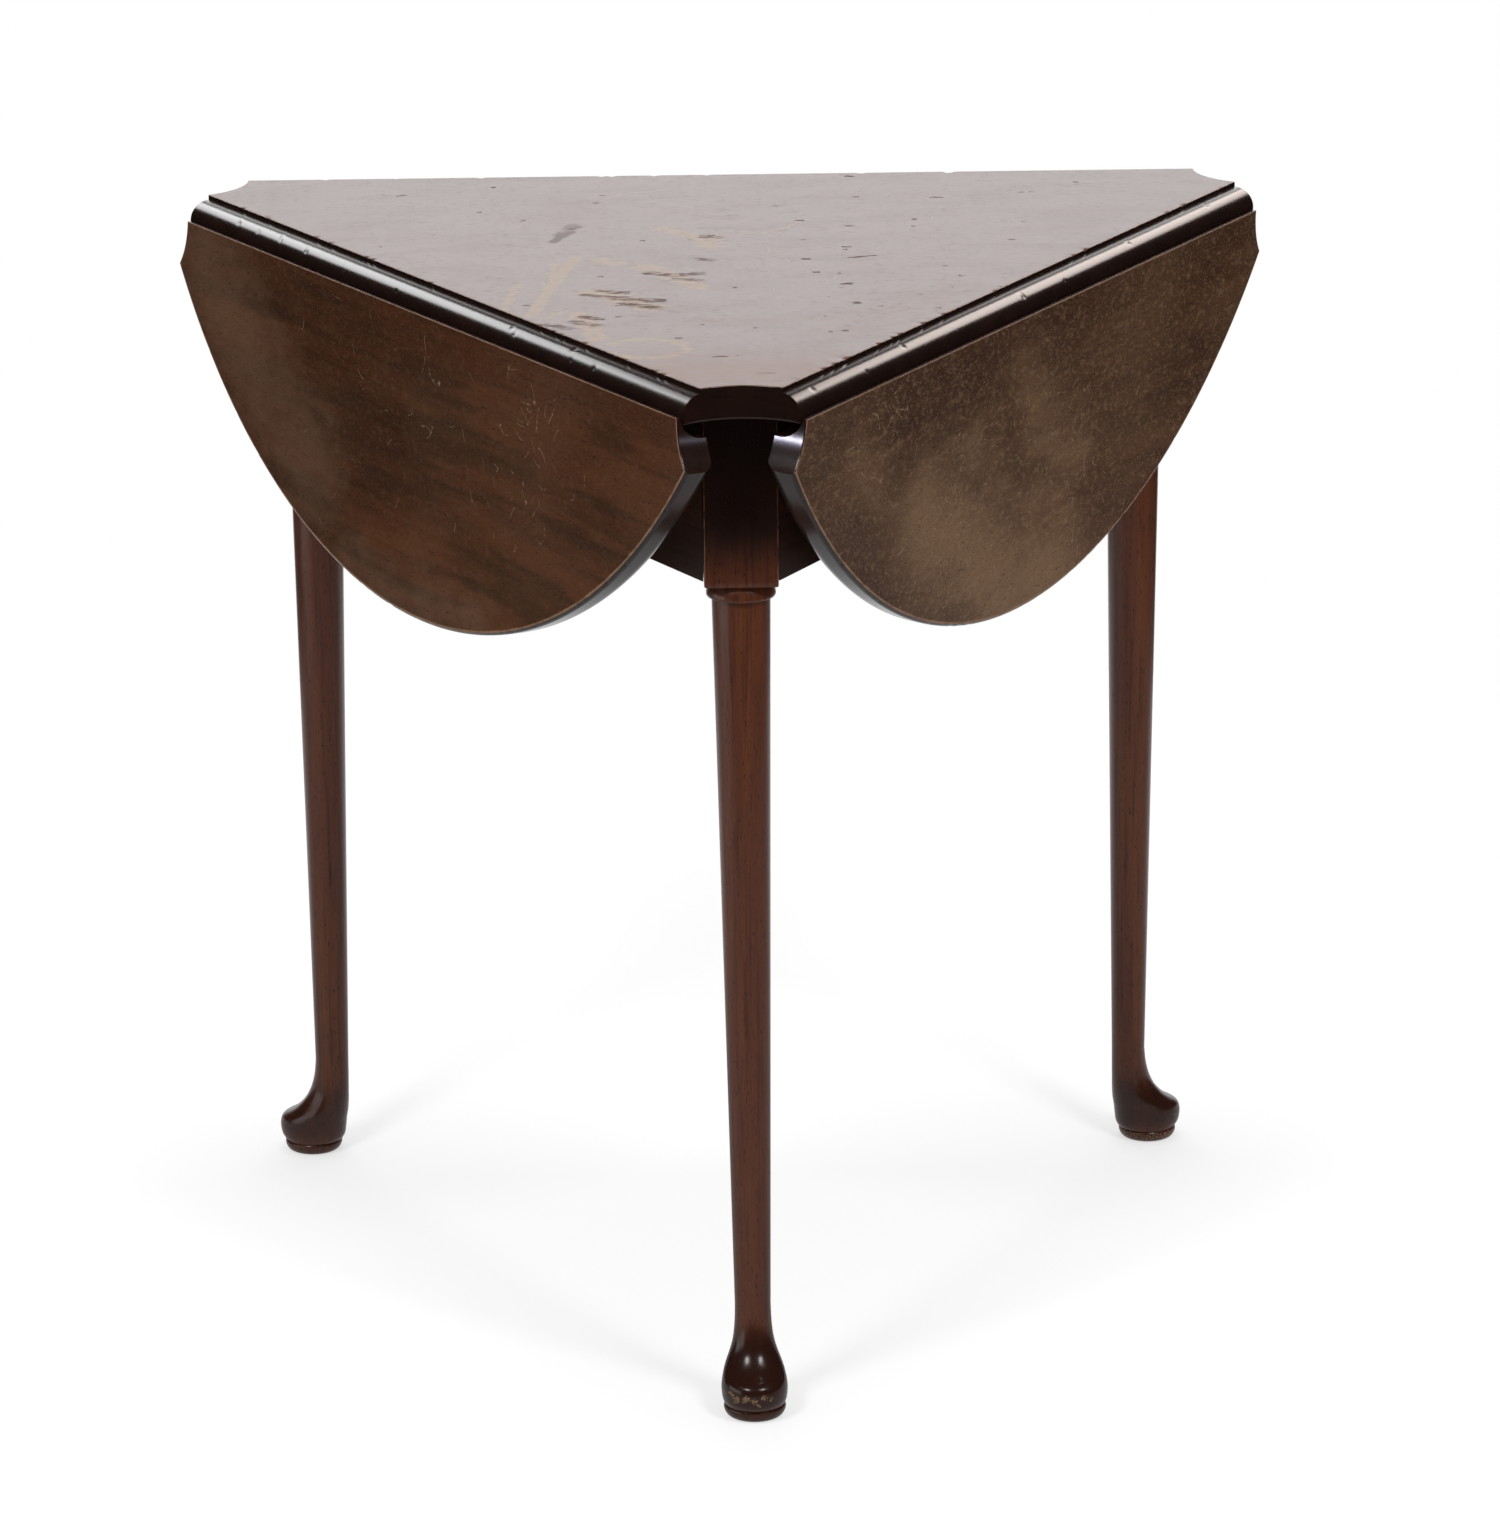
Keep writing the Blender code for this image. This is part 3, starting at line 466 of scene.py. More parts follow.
def curlyScratches(rng, clusters):
    # clusters: middle, spread, how many, length, width, main direction in degrees and its spread
    strokes = []
    steps = 5
    for middle, spread, count, length, width, direction, fan in clusters:
        for _ in range(count):
            path = [np.array(middle) + rng.normal(0, 1, 2) * spread]
            heading = radians(direction + rng.normal(0, fan))
            bend = rng.normal(0, 0.25)
            reach = length * rng.uniform(0.4, 1.5)
            for _ in range(steps):
                heading += bend + rng.normal(0, 0.12)
                path.append(path[-1] + np.array((cos(heading), sin(heading))) * reach / steps)
            strokes.append((width, rng.uniform(0.35, 1.0), path))
    return strokes


def hexGrid(low, high, spacing):
    rows = []
    step = spacing * sqrt(3) / 2
    for index, y in enumerate(np.arange(low[1], high[1], step)):
        shift = spacing / 2 * (index % 2)
        xs = np.arange(low[0] + shift, high[0], spacing)
        rows.append(np.column_stack((xs, np.full(len(xs), y))))
    return np.vstack(rows)


def meshSpots(mesh, inside, **limits):
    # mesh: corners of a square, how far apart its points are, and how far inside the edge they stay
    spots = hexGrid(*mesh[:3])
    return spots[inside(spots, mesh[3], **limits)]


def arcPoints(centre, radius, start, end, steps):
    angles = np.linspace(start, end, steps, endpoint=False)
    return [(centre[0] + radius * cos(a), centre[1] + radius * sin(a)) for a in angles]


def ellipse(steps, height, length, width, offset=0.0):
    turns = [2 * pi * i / steps for i in range(steps)]
    return [(offset + length * cos(t), width * sin(t), height) for t in turns]


def lofted(loops, fills):
    # loops: closed rings of the same count. fills: for the first and last ring, extra points or None
    count = len(loops[0])
    points = [np.asarray(loop, float) for loop in loops]
    faces, zones = [], []
    for level in range(len(loops) - 1):
        a, b = level * count, (level + 1) * count
        for i in range(count):
            j = (i + 1) % count
            faces.append((a + i, a + j, b + j, b + i))
            zones.append(level)
    total = count * len(loops)
    for end, extra in enumerate(fills):
        level, zone = ((0, -1), (len(loops) - 1, -2))[end]
        ring, border = level * count, points[level]
        if extra is None:
            order = range(count) if end else range(count - 1, -1, -1)
            faces.append(tuple(ring + i for i in order))
            zones.append(zone)
            continue
        flat = np.vstack((border[:, :2], extra))
        edges = [(i, (i + 1) % count) for i in range(count)]
        verts, _, tris, origins, _, _ = delaunay_2d_cdt([Vector(p) for p in flat], edges, [], 1, 1e-7)
        index, added = [], []
        for vert, origin in zip(verts, origins):
            if origin and min(origin) < count:
                index.append(ring + min(origin))
            else:
                index.append(total + len(added))
                added.append((vert.x, vert.y, border[0][2]))
        points.append(np.array(added))
        for tri in tris:
            tri = [index[i] for i in tri]
            faces.append(tuple(tri if end == 0 else tri[::-1]))
            zones.append(zone)
        total += len(added)
    return np.vstack(points), faces, np.array(zones)


def wornLoft(rings, fills):
    # rings: each ring's points and how rubbed it is, which goes into the wear's fourth channel
    loops, worn = zip(*rings)
    points, faces, zones = lofted(loops, fills)
    wear = np.zeros((len(points), 4))
    wear[:len(worn) * len(loops[0]), 3] = np.repeat(worn, len(loops[0]))
    return points, faces, zones, wear


def faceUp(obj):
    # turns the faces outwards when the rings ran the other way round
    mesh = obj.data
    if sum(face.center.dot(face.normal) * face.area for face in mesh.polygons) < 0:
        mesh.flip_normals()
    return obj


def drawEach(rng, spans):
    return [rng.uniform(*span) for span in spans]


def dentEdges(points, wear, nicks):
    # nicks: place, radius and depth in metres, and the way in
    for place, radius, depth, inwards in nicks:
        away = np.linalg.norm(points - np.array(place), axis=1)
        push = np.exp(-((away / radius) ** 2))
        near = away < radius * 3
        points[near] += np.outer(push[near] * depth, inwards)
        wear[near, 1] = np.maximum(wear[near, 1], push[near] * 0.9)


def makeBoard(name, mesh, eased, plain, matrix, materials):
    # eased: how many outer rings the polished face takes in. plain: ring where the underside begins
    # materials: the polished face, the edge, and the underside
    points, faces, zones, wear = mesh
    slots = np.select([zones == -1, (zones == -2) | (zones >= plain), zones < eased], [0, 2, 0], 1)
    return faceUp(addPiece(name, points, faces, matrix, materials, slots, wear))


# Top board


topDetail = {
    "seed": 11,
    "segments": 400,  # along each moulded side
    "cornerSegments": 26,
    "faceRings": (0.0022, 0.0013),  # how far inside the edge the face's outer rings run
    "arris": 0.0007,
    "arrisRings": [(0, 0.75), (30, 1.0), (60, 1.0), (90, 0.75)],  # angle, how rubbed
    "filletRub": (0.0018, 0.1),  # down to here the fillet is rubbed, and how much
    "filletEnd": 0.0002,  # its last ring, above the ovolo
    "footEasing": 0.0006,  # where the ovolo ends, above the underside
    "ovoloRub": (62, 16, 0.5),  # middle and spread in degrees, and how much
    # rings at the foot: rise, how far in the side and the hollow are, how rubbed
    "footRings": [(0.0002, 0.0002, 0.0002, 0.3), (0, 0.0008, 0.0006, 0.2), (0, 0.0030, 0.0030, 0.0)],
    # corners of the meshed squares, how far apart their points are, and how far inside the edge
    "faceMesh": ((-0.42, -0.42), (0.42, 0.42), 0.0045, 0.00445),
    "markMesh": ((-0.16, -0.32), (0.06, 0.08), 0.0022, 0.0035),
    "underMesh": ((-0.42, -0.42), (0.42, 0.42), 0.02, 0.012),
    "thin": 3,  # marks narrower than this many millimetres get rows of points of their own
    "rowSteps": (1.6, 1.0),  # millimetres between points along thin marks, and in the specks' middles
    "rowMargin": 0.0032,
    "nicksPerSide": 26,
    "nickSizes": {  # ranges of radius and depth
        "arris": ((0.0012, 0.0025), (0.0005, 0.0011)),
        "ovolo": ((0.0010, 0.0020), (0.0003, 0.0006)),
    },
    # rubbed to tan, in millimetres from the table's axis: width, strength, path
    "scuffs": [
        (4.5, 0.95, [(-102, -32), (-112, -85), (-122, -140), (-130, -195)]),
        (3.0, 0.8, [(-116, -50), (-117, -90), (-118, -125)]),
        (4.0, 0.75, [(-140, -110), (-145, -150), (-149, -180)]),
        (9.0, 0.75, [(-84, -42), (-76, -50)]),
        (7.0, 0.7, [(-45, 55), (-32, 38), (-20, 20)]),
        (2.0, 0.8, [(-20, 20), (4, 29), (25, 35), (40, 49), (50, 67)]),
        (10.0, 0.7, [(-15, 22), (-12, -2)]),
        (9.0, 0.8, [(-55, -62), (-38, -92), (-20, -122)]),
        (11.0, 0.85, [(-90, -134), (-72, -152), (-54, -178)]),
        (8.0, 0.8, [(-100, -196), (-95, -222), (-88, -262)]),
        (3.0, 0.8, [(-112, -188), (-122, -205)]),
        (1.2, 0.7, [(-85, 140), (-70, 160), (-40, 172)]),
    ],
    "ring": ((-57.5, -290), 25, 4.2, 0.85),  # wet glass ring: middle, radius, width, strength
    # broad rubbing by hands and cloths, thinner and warmer than the rest
    "rubbed": [
        (60, 0.50, [(-30, -350), (30, -350)]),
        (34, 0.30, [(70, -250), (150, -130)]),
        (16, 0.28, [(-20, -215), (90, -212)]),
    ],
    "chips": [
        (5.5, 0.64, [(-16, 26), (-6, 22)]),
        (5.0, 0.62, [(-22, -41), (-12, -45)]),
        (7.0, 0.64, [(-54, -80), (-36, -88), (-20, -84)]),
        (5.5, 0.62, [(-36, -98), (-22, -104)]),
        (8.0, 0.66, [(-84, -146), (-66, -155), (-48, -160)]),
        (7.5, 0.68, [(-70, -168), (-50, -178)]),
        (6.5, 0.64, [(-86, -130), (-70, -136)]),
        (6.0, 0.64, [(-96, -140), (-84, -147)]),
        (6.5, 0.66, [(-98, -202), (-88, -208)]),
        (7.0, 0.66, [(-102, -216), (-90, -226)]),
        (6.0, 0.64, [(-120, -222), (-108, -232)]),
        (3.4, 0.75, [(-15, -313), (-9, -313)]),
        (3.2, 0.75, [(13, -359), (20, -359)]),
    ],
    "smear": [(9.0, 0.80, [(-104, 62), (-110, 36)]), (4.5, 0.95, [(-108, 40), (-117, 14)])],
    "dents": [
        (4.2, 1.0, [(80, -172)]),
        (2.9, 1.0, [(73, -119), (78, -118)]),
        (2.9, 0.8, [(80, -42), (97, -38)]),
        (2.4, 0.9, [(78, -11), (83, -11)]),
        (2.6, 1.0, [(143, 137), (149, 138)]),
        (2.4, 1.0, [(87, 209), (92, 209)]),
        (2.2, 0.9, [(49, -45), (53, -45)]),
        (2.2, 0.9, [(48, 71), (52, 71)]),
        (2.2, 0.9, [(33, 117), (38, 117)]),
    ],
    # small dents: how many, and ranges of place, of width and strength, and of length
    "specks": {
        "count": 90,
        "place": ((-330, 330), (-390, 200)),
        "size": ((0.9, 1.9), (0.85, 1.0)),
        "length": (0.5, 4),
    },
    # the same numbers as curlyScratches takes
    "scratches": [
        ((-20, -60), 90, 26, 18, 0.45, 20, 60),
        ((40, 90), 110, 22, 16, 0.4, 10, 60),
        ((-70, -170), 40, 16, 12, 0.45, 70, 60),
    ],
}
sideTurns = [radians(facing) for facing in table["sides"].values()]


def scoopMiddle(turn):
    # middle of the hollow at the end of the side that faces turn
    middle = turn + radians(60)
    return 2 * table["inradius"] * np.array((cos(middle), sin(middle)))


def topLoop(height, out, grow):
    # ring round the top at one height: sides set out from the fillet line, scoops grown
    radius = table["scoop"] + grow
    reach = corner - sqrt(radius ** 2 - out ** 2)
    swing = asin(out / radius)
    ring = []
    for turn in sideTurns:
        for y in np.linspace(-reach, reach, topDetail["segments"], endpoint=False):
            ring.append((*spun(table["inradius"] + out, y, turn), height))
        ends = (turn + radians(270) + swing, turn + radians(210) - swing)
        hollow = arcPoints(scoopMiddle(turn), radius, *ends, topDetail["cornerSegments"])
        ring += [(x, y, height) for x, y in hollow]
    return np.array(ring)


def insideTop(spots, margin):
    keep = np.ones(len(spots), bool)
    for turn in sideTurns:
        keep &= spots @ np.array((cos(turn), sin(turn))) < table["inradius"] - margin
        keep &= np.linalg.norm(spots - scoopMiddle(turn), axis=1) > table["scoop"] + margin
    return keep


def topRings():
    top, low, ovolo = table["height"], table["height"] - table["thickness"], table["ovolo"]
    arris = topDetail["arris"]
    rings = []
    def add(height, out, grow, worn=0.0):
        rings.append((topLoop(height, out, grow), worn))
    for inset in topDetail["faceRings"]:
        add(top, -inset, inset)
    for angle, worn in topDetail["arrisRings"]:
        ease = arris * (1 - sin(radians(angle)))
        add(top - arris * (1 - cos(radians(angle))), -ease, ease, worn)
    drop, worn = topDetail["filletRub"]
    add(top - drop, 0, 0, worn)
    add(pinHeight + ovolo + topDetail["filletEnd"], 0, 0)
    foot = asin(-(under - topDetail["footEasing"]) / ovolo)
    middle, spread, worn = topDetail["ovoloRub"]
    for angle in between(pi / 2, foot, np.linspace(0, 1, 19)):
        shoulder = worn * max(0, 1 - abs(degrees(angle) - middle) / spread)
        add(pinHeight + ovolo * sin(angle), ovolo * cos(angle), 0, shoulder)
    for rise, inset, grow, worn in topDetail["footRings"]:
        add(low + rise, ovolo * cos(foot) - inset, grow, worn)
    return rings


def topNicks(rng):
    nicks = []
    for turn in sideTurns:
        for _ in range(topDetail["nicksPerSide"]):
            along = rng.uniform(-0.31, 0.31)
            if rng.random() < 0.5:
                edge, distance, height = "arris", table["inradius"], table["height"] - 0.0002
            else:
                edge, angle = "ovolo", radians(rng.uniform(20, 75))
                distance = table["inradius"] + table["ovolo"] * cos(angle)
                height = pinHeight + table["ovolo"] * sin(angle)
            inwards = (-cos(turn) * 0.7, -sin(turn) * 0.7, -0.7)
            size = drawEach(rng, topDetail["nickSizes"][edge])
            nicks.append(((*spun(distance, along, turn), height), *size, inwards))
    return nicks


def makeTop():
    rng = np.random.default_rng(topDetail["seed"])
    scuffs, chips, smear, dents = (topDetail[key] for key in ("scuffs", "chips", "smear", "dents"))
    marks = scuffs + chips + smear + dents
    (ringX, ringY), radius, width, strength = topDetail["ring"]
    arc = [radians(a) for a in range(-150, 151, 15)]
    ring = (width, strength, [(ringX + radius * cos(a), ringY + radius * sin(a)) for a in arc])
    speck = topDetail["specks"]
    specks = []
    for _ in range(speck["count"]):
        x, y = drawEach(rng, speck["place"])
        specks.append((*drawEach(rng, speck["size"]), [(x, y), (x + rng.uniform(*speck["length"]), y)]))
    scratches = curlyScratches(rng, topDetail["scratches"])
    thin = [ring] + specks + [stroke for stroke in marks if stroke[0] < topDetail["thin"]] + scratches
    grid = meshSpots(topDetail["faceMesh"], insideTop)
    dense = meshSpots(topDetail["markMesh"], insideTop)
    dense = dense[strokeMask(dense, marks) > 0.05]
    inner = [(width / 3, strength, path) for width, strength, path in specks]
    rows = [strokePoints(strokes, step) for strokes, step in zip((thin, inner), topDetail["rowSteps"])]
    rows = np.vstack(rows)
    rows = rows[insideTop(rows, topDetail["rowMargin"])]
    coarse = meshSpots(topDetail["underMesh"], insideTop)
    rings = topRings()
    mesh = wornLoft(rings, (np.vstack((grid, dense, rows)), coarse))
    points, wear = mesh[0], mesh[3]
    upper = points[:, 2] > table["height"] - 1e-6
    face = points[upper]
    wear[upper, 0] = strokeMask(face, scuffs + [ring] + scratches)
    wear[upper, 1] = strokeMask(face, chips + dents + specks)
    wear[upper, 2] = strokeMask(face, smear + dents + specks)
    wear[upper, 3] = np.maximum(wear[upper, 3], strokeMask(face, topDetail["rubbed"], cloudy=True))
    dentEdges(points, wear, topNicks(rng))
    materials = [polishedTop, polishedEdge, plainUnder["top"]]
    return makeBoard("topBoard", mesh, 3, len(rings) - 4, tableMatrix, materials)


# Leaves


leafDetail = {
    "seed": {"back": 21, "left": 22, "right": 23},
    "segments": 200,
    "scoopSegments": 18,
    "rimSegments": 230,
    "easing": {"nose": 0.0005, "scoop": 0.0008, "rim": 0.0030, "under": 0.0006},
    "rimBack": 0.0100,  # the rim's inner half is rounded away
    # the face's outer rings: how far inside the nose, the hollows and the rim they run
    "faceRings": [(0.0028, 0.0028, 0.0060), (0.0017, 0.0016, 0.0042)],
    # rings of the eased edge: drop, how rubbed
    "easedRings": [
        (0, 0.95), (0.00006, 1.0), (0.00022, 0.9), (0.00045, 0.6), (0.0008, 0.25),
        (0.0013, 0.1), (0.0019, 0.0), (0.0024, 0.0), (0.0030, 0.0),
    ],
    # rings above the inner side: rise, how rubbed
    "underRings": [
        (0.0036, 0.0), (0.0028, 0.0), (0.0020, 0.0), (0.0013, 0.0),
        (0.0007, 0.2), (0.0003, 0.2), (0.0001, 0.2), (0.0, 0.2),
    ],
    "underInset": (0.003, 0.0025),  # how far inside the hollows and the rim the last ring runs
    # corners of the meshed squares, how far apart their points are, and how far inside the edge
    "faceMesh": ((0, -0.36), (0.21, 0.36), 0.0045, 0.00465),
    "underMesh": ((0, -0.36), (0.21, 0.36), 0.02, 0.012),
    "rowStep": 2.0,  # millimetres between points along the scratches
    "rowMargin": 0.0040,
    "faceEase": 0.0040,  # the face's points also keep clear of the rim's easing
    "nicks": {  # how many, and ranges of place, radius and depth
        "rim": (30, ((-0.95, 0.95), (0.0008, 0.002), (0.0002, 0.0006))),
        "nose": (16, ((-0.31, 0.31), (0.0008, 0.0018), (0.0002, 0.0004))),
    },
    # dark clouds in millimetres out from the hinge line and along it
    "clouds": {
        "left": [
            (14, 0.7, [(75, -90), (80, 35), (72, 150)]),
            (14, 0.6, [(100, -140), (95, 10)]),
            (22, 0.6, [(140, 60), (160, 185)]),
            (9, 0.7, [(167, -145), (168, -80)]),
            (18, 0.4, [(34, -240), (30, -180), (20, -60)]),
        ],
        "right": [
            (50, 0.85, [(110, -160), (150, -80), (195, -20), (190, 40)]),
            (34, 0.5, [(40, -20), (90, 0), (110, 60)]),
            (32, 0.5, [(80, -90), (120, -40), (150, 40)]),
            (30, 0.45, [(40, -260), (90, -200)]),
        ],
        "back": [(20, 0.6, [(60, -200), (90, 0), (60, 200)]), (16, 0.6, [(140, -100), (150, 100)])],
    },
    # places veiled by dried wax
    "hazes": {
        "left": [
            (60, 0.75, [(20, -300), (80, -230), (130, -150)]),
            (26, 0.60, [(185, -90), (200, 0), (185, 90)]),
        ],
        "right": [(34, 0.35, [(60, -150), (70, -60)])],
        "back": [(50, 0.30, [(60, -120), (90, 120)])],
    },
    "scratches": {
        "left": [
            ((44, 160), 24, 46, 12, 0.36, 10, 50),
            ((90, 130), 30, 24, 8, 0.33, 30, 60),
            ((70, 55), 60, 24, 10, 0.33, 70, 60),
            ((100, -60), 90, 26, 9, 0.30, 30, 60),
            ((30, 16), 6, 4, 16, 0.45, 0, 8),
        ],
        "right": [
            ((120, -120), 32, 170, 8, 0.34, 50, 80),
            ((90, 60), 42, 170, 8, 0.32, 90, 80),
            ((28, -225), 18, 22, 20, 0.40, 80, 20),
            ((155, 75), 16, 16, 14, 0.42, 0, 12),
            ((110, 0), 100, 380, 6, 0.30, 90, 90),
        ],
        "back": [((100, 0), 110, 60, 14, 0.35, 90, 70)],
    },
}


def leafLoop(height, inner, grow, ease):
    # ring round a raised leaf, in its hinge's frame
    radius, rim = table["scoop"] + grow, table["rim"] - ease
    centre = np.array((0, corner))
    pivot = np.array((-table["inradius"], 0))
    span = centre - pivot
    distance = hypot(*span)
    along = (rim ** 2 - radius ** 2 + distance ** 2) / (2 * distance)
    across = sqrt(rim ** 2 - along ** 2)
    cusp = pivot + span / distance * along + np.array((span[1], -span[0])) / distance * across
    start = asin(inner / radius) - pi / 2
    end = np.arctan2(cusp[1] - centre[1], cusp[0] - centre[0])
    reach = corner - sqrt(radius ** 2 - inner ** 2)
    ring = [(inner, y) for y in np.linspace(-reach, reach, leafDetail["segments"], endpoint=False)]
    hollow = arcPoints(centre, radius, start, end, leafDetail["scoopSegments"])
    swing = np.arctan2(cusp[1], cusp[0] + table["inradius"])
    ring += hollow + arcPoints(pivot, rim, swing, -swing, leafDetail["rimSegments"])
    ring += [(cusp[0], -cusp[1])] + [(x, -y) for x, y in hollow[:0:-1]]
    return np.array([(x, y, height) for x, y in ring])


def insideLeaf(spots, margin, inner=table["gap"], ease=0.0):
    keep = spots[:, 0] > inner + margin
    pivot = np.array((-table["inradius"], 0))
    keep &= np.linalg.norm(spots - pivot, axis=1) < table["rim"] - ease - margin
    for sign in (-1, 1):
        keep &= np.linalg.norm(spots - np.array((0, sign * corner)), axis=1) > table["scoop"] + margin
    return keep


def easing(radius, drop):
    return radius - sqrt(max(radius ** 2 - (radius - drop) ** 2, 0)) if drop < radius else 0.0


def leafRings():
    face, low, gap = pinDrop, -under, table["gap"]
    cove, ease, back = table["ovolo"] + gap, leafDetail["easing"], leafDetail["rimBack"]
    rings = []
    def add(height, inner, grow, ease, worn=0.0):
        rings.append((leafLoop(height, inner, grow, ease), worn))
    for insets in leafDetail["faceRings"]:
        add(face, *insets)
    for drop, worn in leafDetail["easedRings"]:
        nose, scoop, rim = (easing(ease[part], drop) for part in ("nose", "scoop", "rim"))
        add(face - drop, gap + nose, scoop, rim, worn)
    start = acos(gap / cove)
    for share in np.linspace(0, 1, 17):
        angle = start * (1 - share)
        add(cove * sin(angle), max(cove * cos(angle), gap), 0, easing(back, cove * sin(angle) - low))
    for rise, worn in leafDetail["underRings"]:
        inset = easing(ease["under"], rise)
        add(low + rise, cove + inset, inset, easing(back, rise), worn)
    inset, rim = leafDetail["underInset"]
    add(low, cove + inset, inset, back + rim)
    return rings


def leafNicks(rng):
    nicks = []
    count, spans = leafDetail["nicks"]["rim"]
    for _ in range(count):
        angle, *size = drawEach(rng, spans)
        x, y = table["rim"] * cos(angle) - table["inradius"] - 0.001, table["rim"] * sin(angle)
        nicks.append(((x, y, pinDrop - 0.0012), *size, (-cos(angle), -sin(angle), -0.4)))
    count, spans = leafDetail["nicks"]["nose"]
    for _ in range(count):
        along, *size = drawEach(rng, spans)
        nicks.append(((table["gap"], along, pinDrop), *size, (0.6, 0, -0.7)))
    return nicks


def makeLeaf(side):
    rng = np.random.default_rng(leafDetail["seed"][side])
    scratches = curlyScratches(rng, leafDetail["scratches"][side])
    ease, cove = leafDetail["faceEase"], table["ovolo"] + table["gap"]
    grid = meshSpots(leafDetail["faceMesh"], insideLeaf, ease=ease)
    rows = strokePoints(scratches, leafDetail["rowStep"])
    rows = rows[insideLeaf(rows, leafDetail["rowMargin"], ease=ease)]
    coarse = meshSpots(leafDetail["underMesh"], insideLeaf, inner=cove, ease=leafDetail["rimBack"])
    rings = leafRings()
    mesh = wornLoft(rings, (np.vstack((grid, rows)), coarse))
    points, wear = mesh[0], mesh[3]
    upper = points[:, 2] > pinDrop - 1e-6
    face = points[upper]
    wear[upper, 0] = strokeMask(face, scratches)
    wear[upper, 1] = strokeMask(face, leafDetail["hazes"][side], cloudy=True)
    wear[upper, 2] = strokeMask(face, leafDetail["clouds"][side], cloudy=True)
    dentEdges(points, wear, leafNicks(rng))
    materials = [leafFace[side], polishedRim, plainUnder["leaf"]]
    return makeBoard("leafBoard" + side.capitalize(), mesh, 4, len(rings), leafMatrix[side], materials)


# Hinge pockets, cut in the same places as the CAD's
hinge = {
    "offset": 0.19005,
    "width": 0.038,
    "thickness": 0.002,
    "topReach": 0.025,
    "leafReach": 0.050,
    "barrel": 0.0031,
    "clearance": 0.0003,
    "barrelClearance": 0.0005,
    "pocketEnd": {"top": 0.0165, "leaf": 0.011},  # they run out under the moulding and at the cove
}


def hingePockets(start, end, high):
    half = hinge["width"] / 2 + hinge["clearance"]
    middles = (-hinge["offset"], hinge["offset"])
    return [((start, y - half, -under - 0.003), (end, y + half, high)) for y in middles]


clearance = hinge["clearance"]
flapTop = hinge["thickness"] - under + clearance
barrel = hinge["barrel"] + hinge["barrelClearance"]
topBoard = makeTop()
frames = [tableMatrix.inverted() @ matrix for matrix in sideMatrix.values()]
cutBoxes(topBoard, hingePockets(-hinge["topReach"] - clearance, hinge["pocketEnd"]["top"], flapTop), frames)
cutBoxes(topBoard, hingePockets(-under - clearance, barrel, barrel), frames)
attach(topBoard, "top")
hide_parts("top_board")
for side in table["sides"]:
    leaf = makeLeaf(side)
    cutBoxes(leaf, hingePockets(hinge["pocketEnd"]["leaf"], hinge["leafReach"] + clearance, flapTop))
    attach(leaf, "leaf_" + side)
    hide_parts("leaf_board_" + side)
print("boards made")


# Legs


legDetail = {
    "seed": {"front": 31, "left": 32, "right": 33},
    "around": 96,
    "collarRadius": 0.0222,
    "collarHeight": 0.0112,
    "blockDrop": 0.0018,  # the block's turned shoulder ends this far below the rails
    "taperRadius": 0.0187,
    "ankleRadius": 0.0117,
    "ankleHeight": 0.070,
    "footBottom": 0.0090,
    "heel": 0.0070,
    "toe": 0.0412,
    "halfWidth": 0.0216,
    "padOffset": 0.0170,
    "padRadius": 0.0203,
    "padHeight": 0.0072,
    "blockEasing": 0.0010,
    "padWear": {"front": 0.45, "left": 0.50, "right": 0.72},
    "footStain": {"front": 1.0, "left": 0.40, "right": 0.48},  # how much old dark polish is left in each foot
    "lean": {"front": 0.0044, "left": 0.0, "right": 0.0},  # how far each foot stands sideways of its block
    # height, then how far heel, toe and width have gone from the ankle to their full size
    "foot": [
        (0.000, 1.51, 0.898, 0.838), (0.049, 1.17, 0.966, 0.940), (0.115, 1.00, 0.997, 0.990),
        (0.180, 0.89, 1.000, 1.000), (0.246, 0.77, 0.956, 0.950), (0.295, 0.64, 0.844, 0.880),
        (0.344, 0.53, 0.661, 0.790), (0.410, 0.40, 0.478, 0.630), (0.508, 0.23, 0.295, 0.384),
        (0.607, 0.13, 0.180, 0.200), (0.705, 0.064, 0.102, 0.100), (0.836, 0.02, 0.037, 0.030),
        (1.000, 0.00, 0.000, 0.000),
    ],
    # height and radius, as shares of the pad's
    "pad": [
        (0.00, 0.800), (0.04, 0.840), (0.12, 0.885), (0.25, 0.930), (0.42, 0.965),
        (0.60, 0.990), (0.76, 1.000), (0.90, 0.996), (1.00, 0.985), (1.08, 0.955),
    ],
    # height as a share of the collar's, then how far it stands out of the taper
    "collar": [
        (0.00, 0.00), (0.01, 0.12), (0.03, 0.55), (0.07, 0.82), (0.13, 0.96), (0.20, 1.00), (0.32, 0.98),
        (0.48, 0.88), (0.64, 0.70), (0.78, 0.46), (0.88, 0.24), (0.94, 0.14), (1.00, 0.12),
    ],
    # old polish in the foot and shank, and painted shade darkening the block under the top: height where each
    # begins, how much further it is full, and its least
    # the block's heights are counted from the block's foot
    "footPolish": (0.060, -0.022),
    "toePolish": (0.006, 0.012, 0.35),
    # painted shade: the block is darkened towards the top board that overhangs it
    "blockPaintedShade": (0.022, 0.036),
    "shankPolish": (0.3, -0.3),
    # painted shade: a second, darker layer on the block's upper part
    "blockPaintedShadeDark": (0.006, 0.040),
    # chips on the foot, in millimetres: stretches across it, middle and spread of their height
    "chips": {
        "count": 34,
        "across": ((-11, -6.5), (-3, 15), (-3, 15), (-20, 20)),
        "height": (18.0, 2.2),
        "size": ((0.9, 1.7), (0.7, 0.95)),
    },
    "nicks": (14, ((0.001, 0.0024), (0.0001, 0.0003))),  # how many, and ranges of radius and depth
    "nickedLength": (0.07, 0.554),  # heights between which the taper's radius is taken for them
}


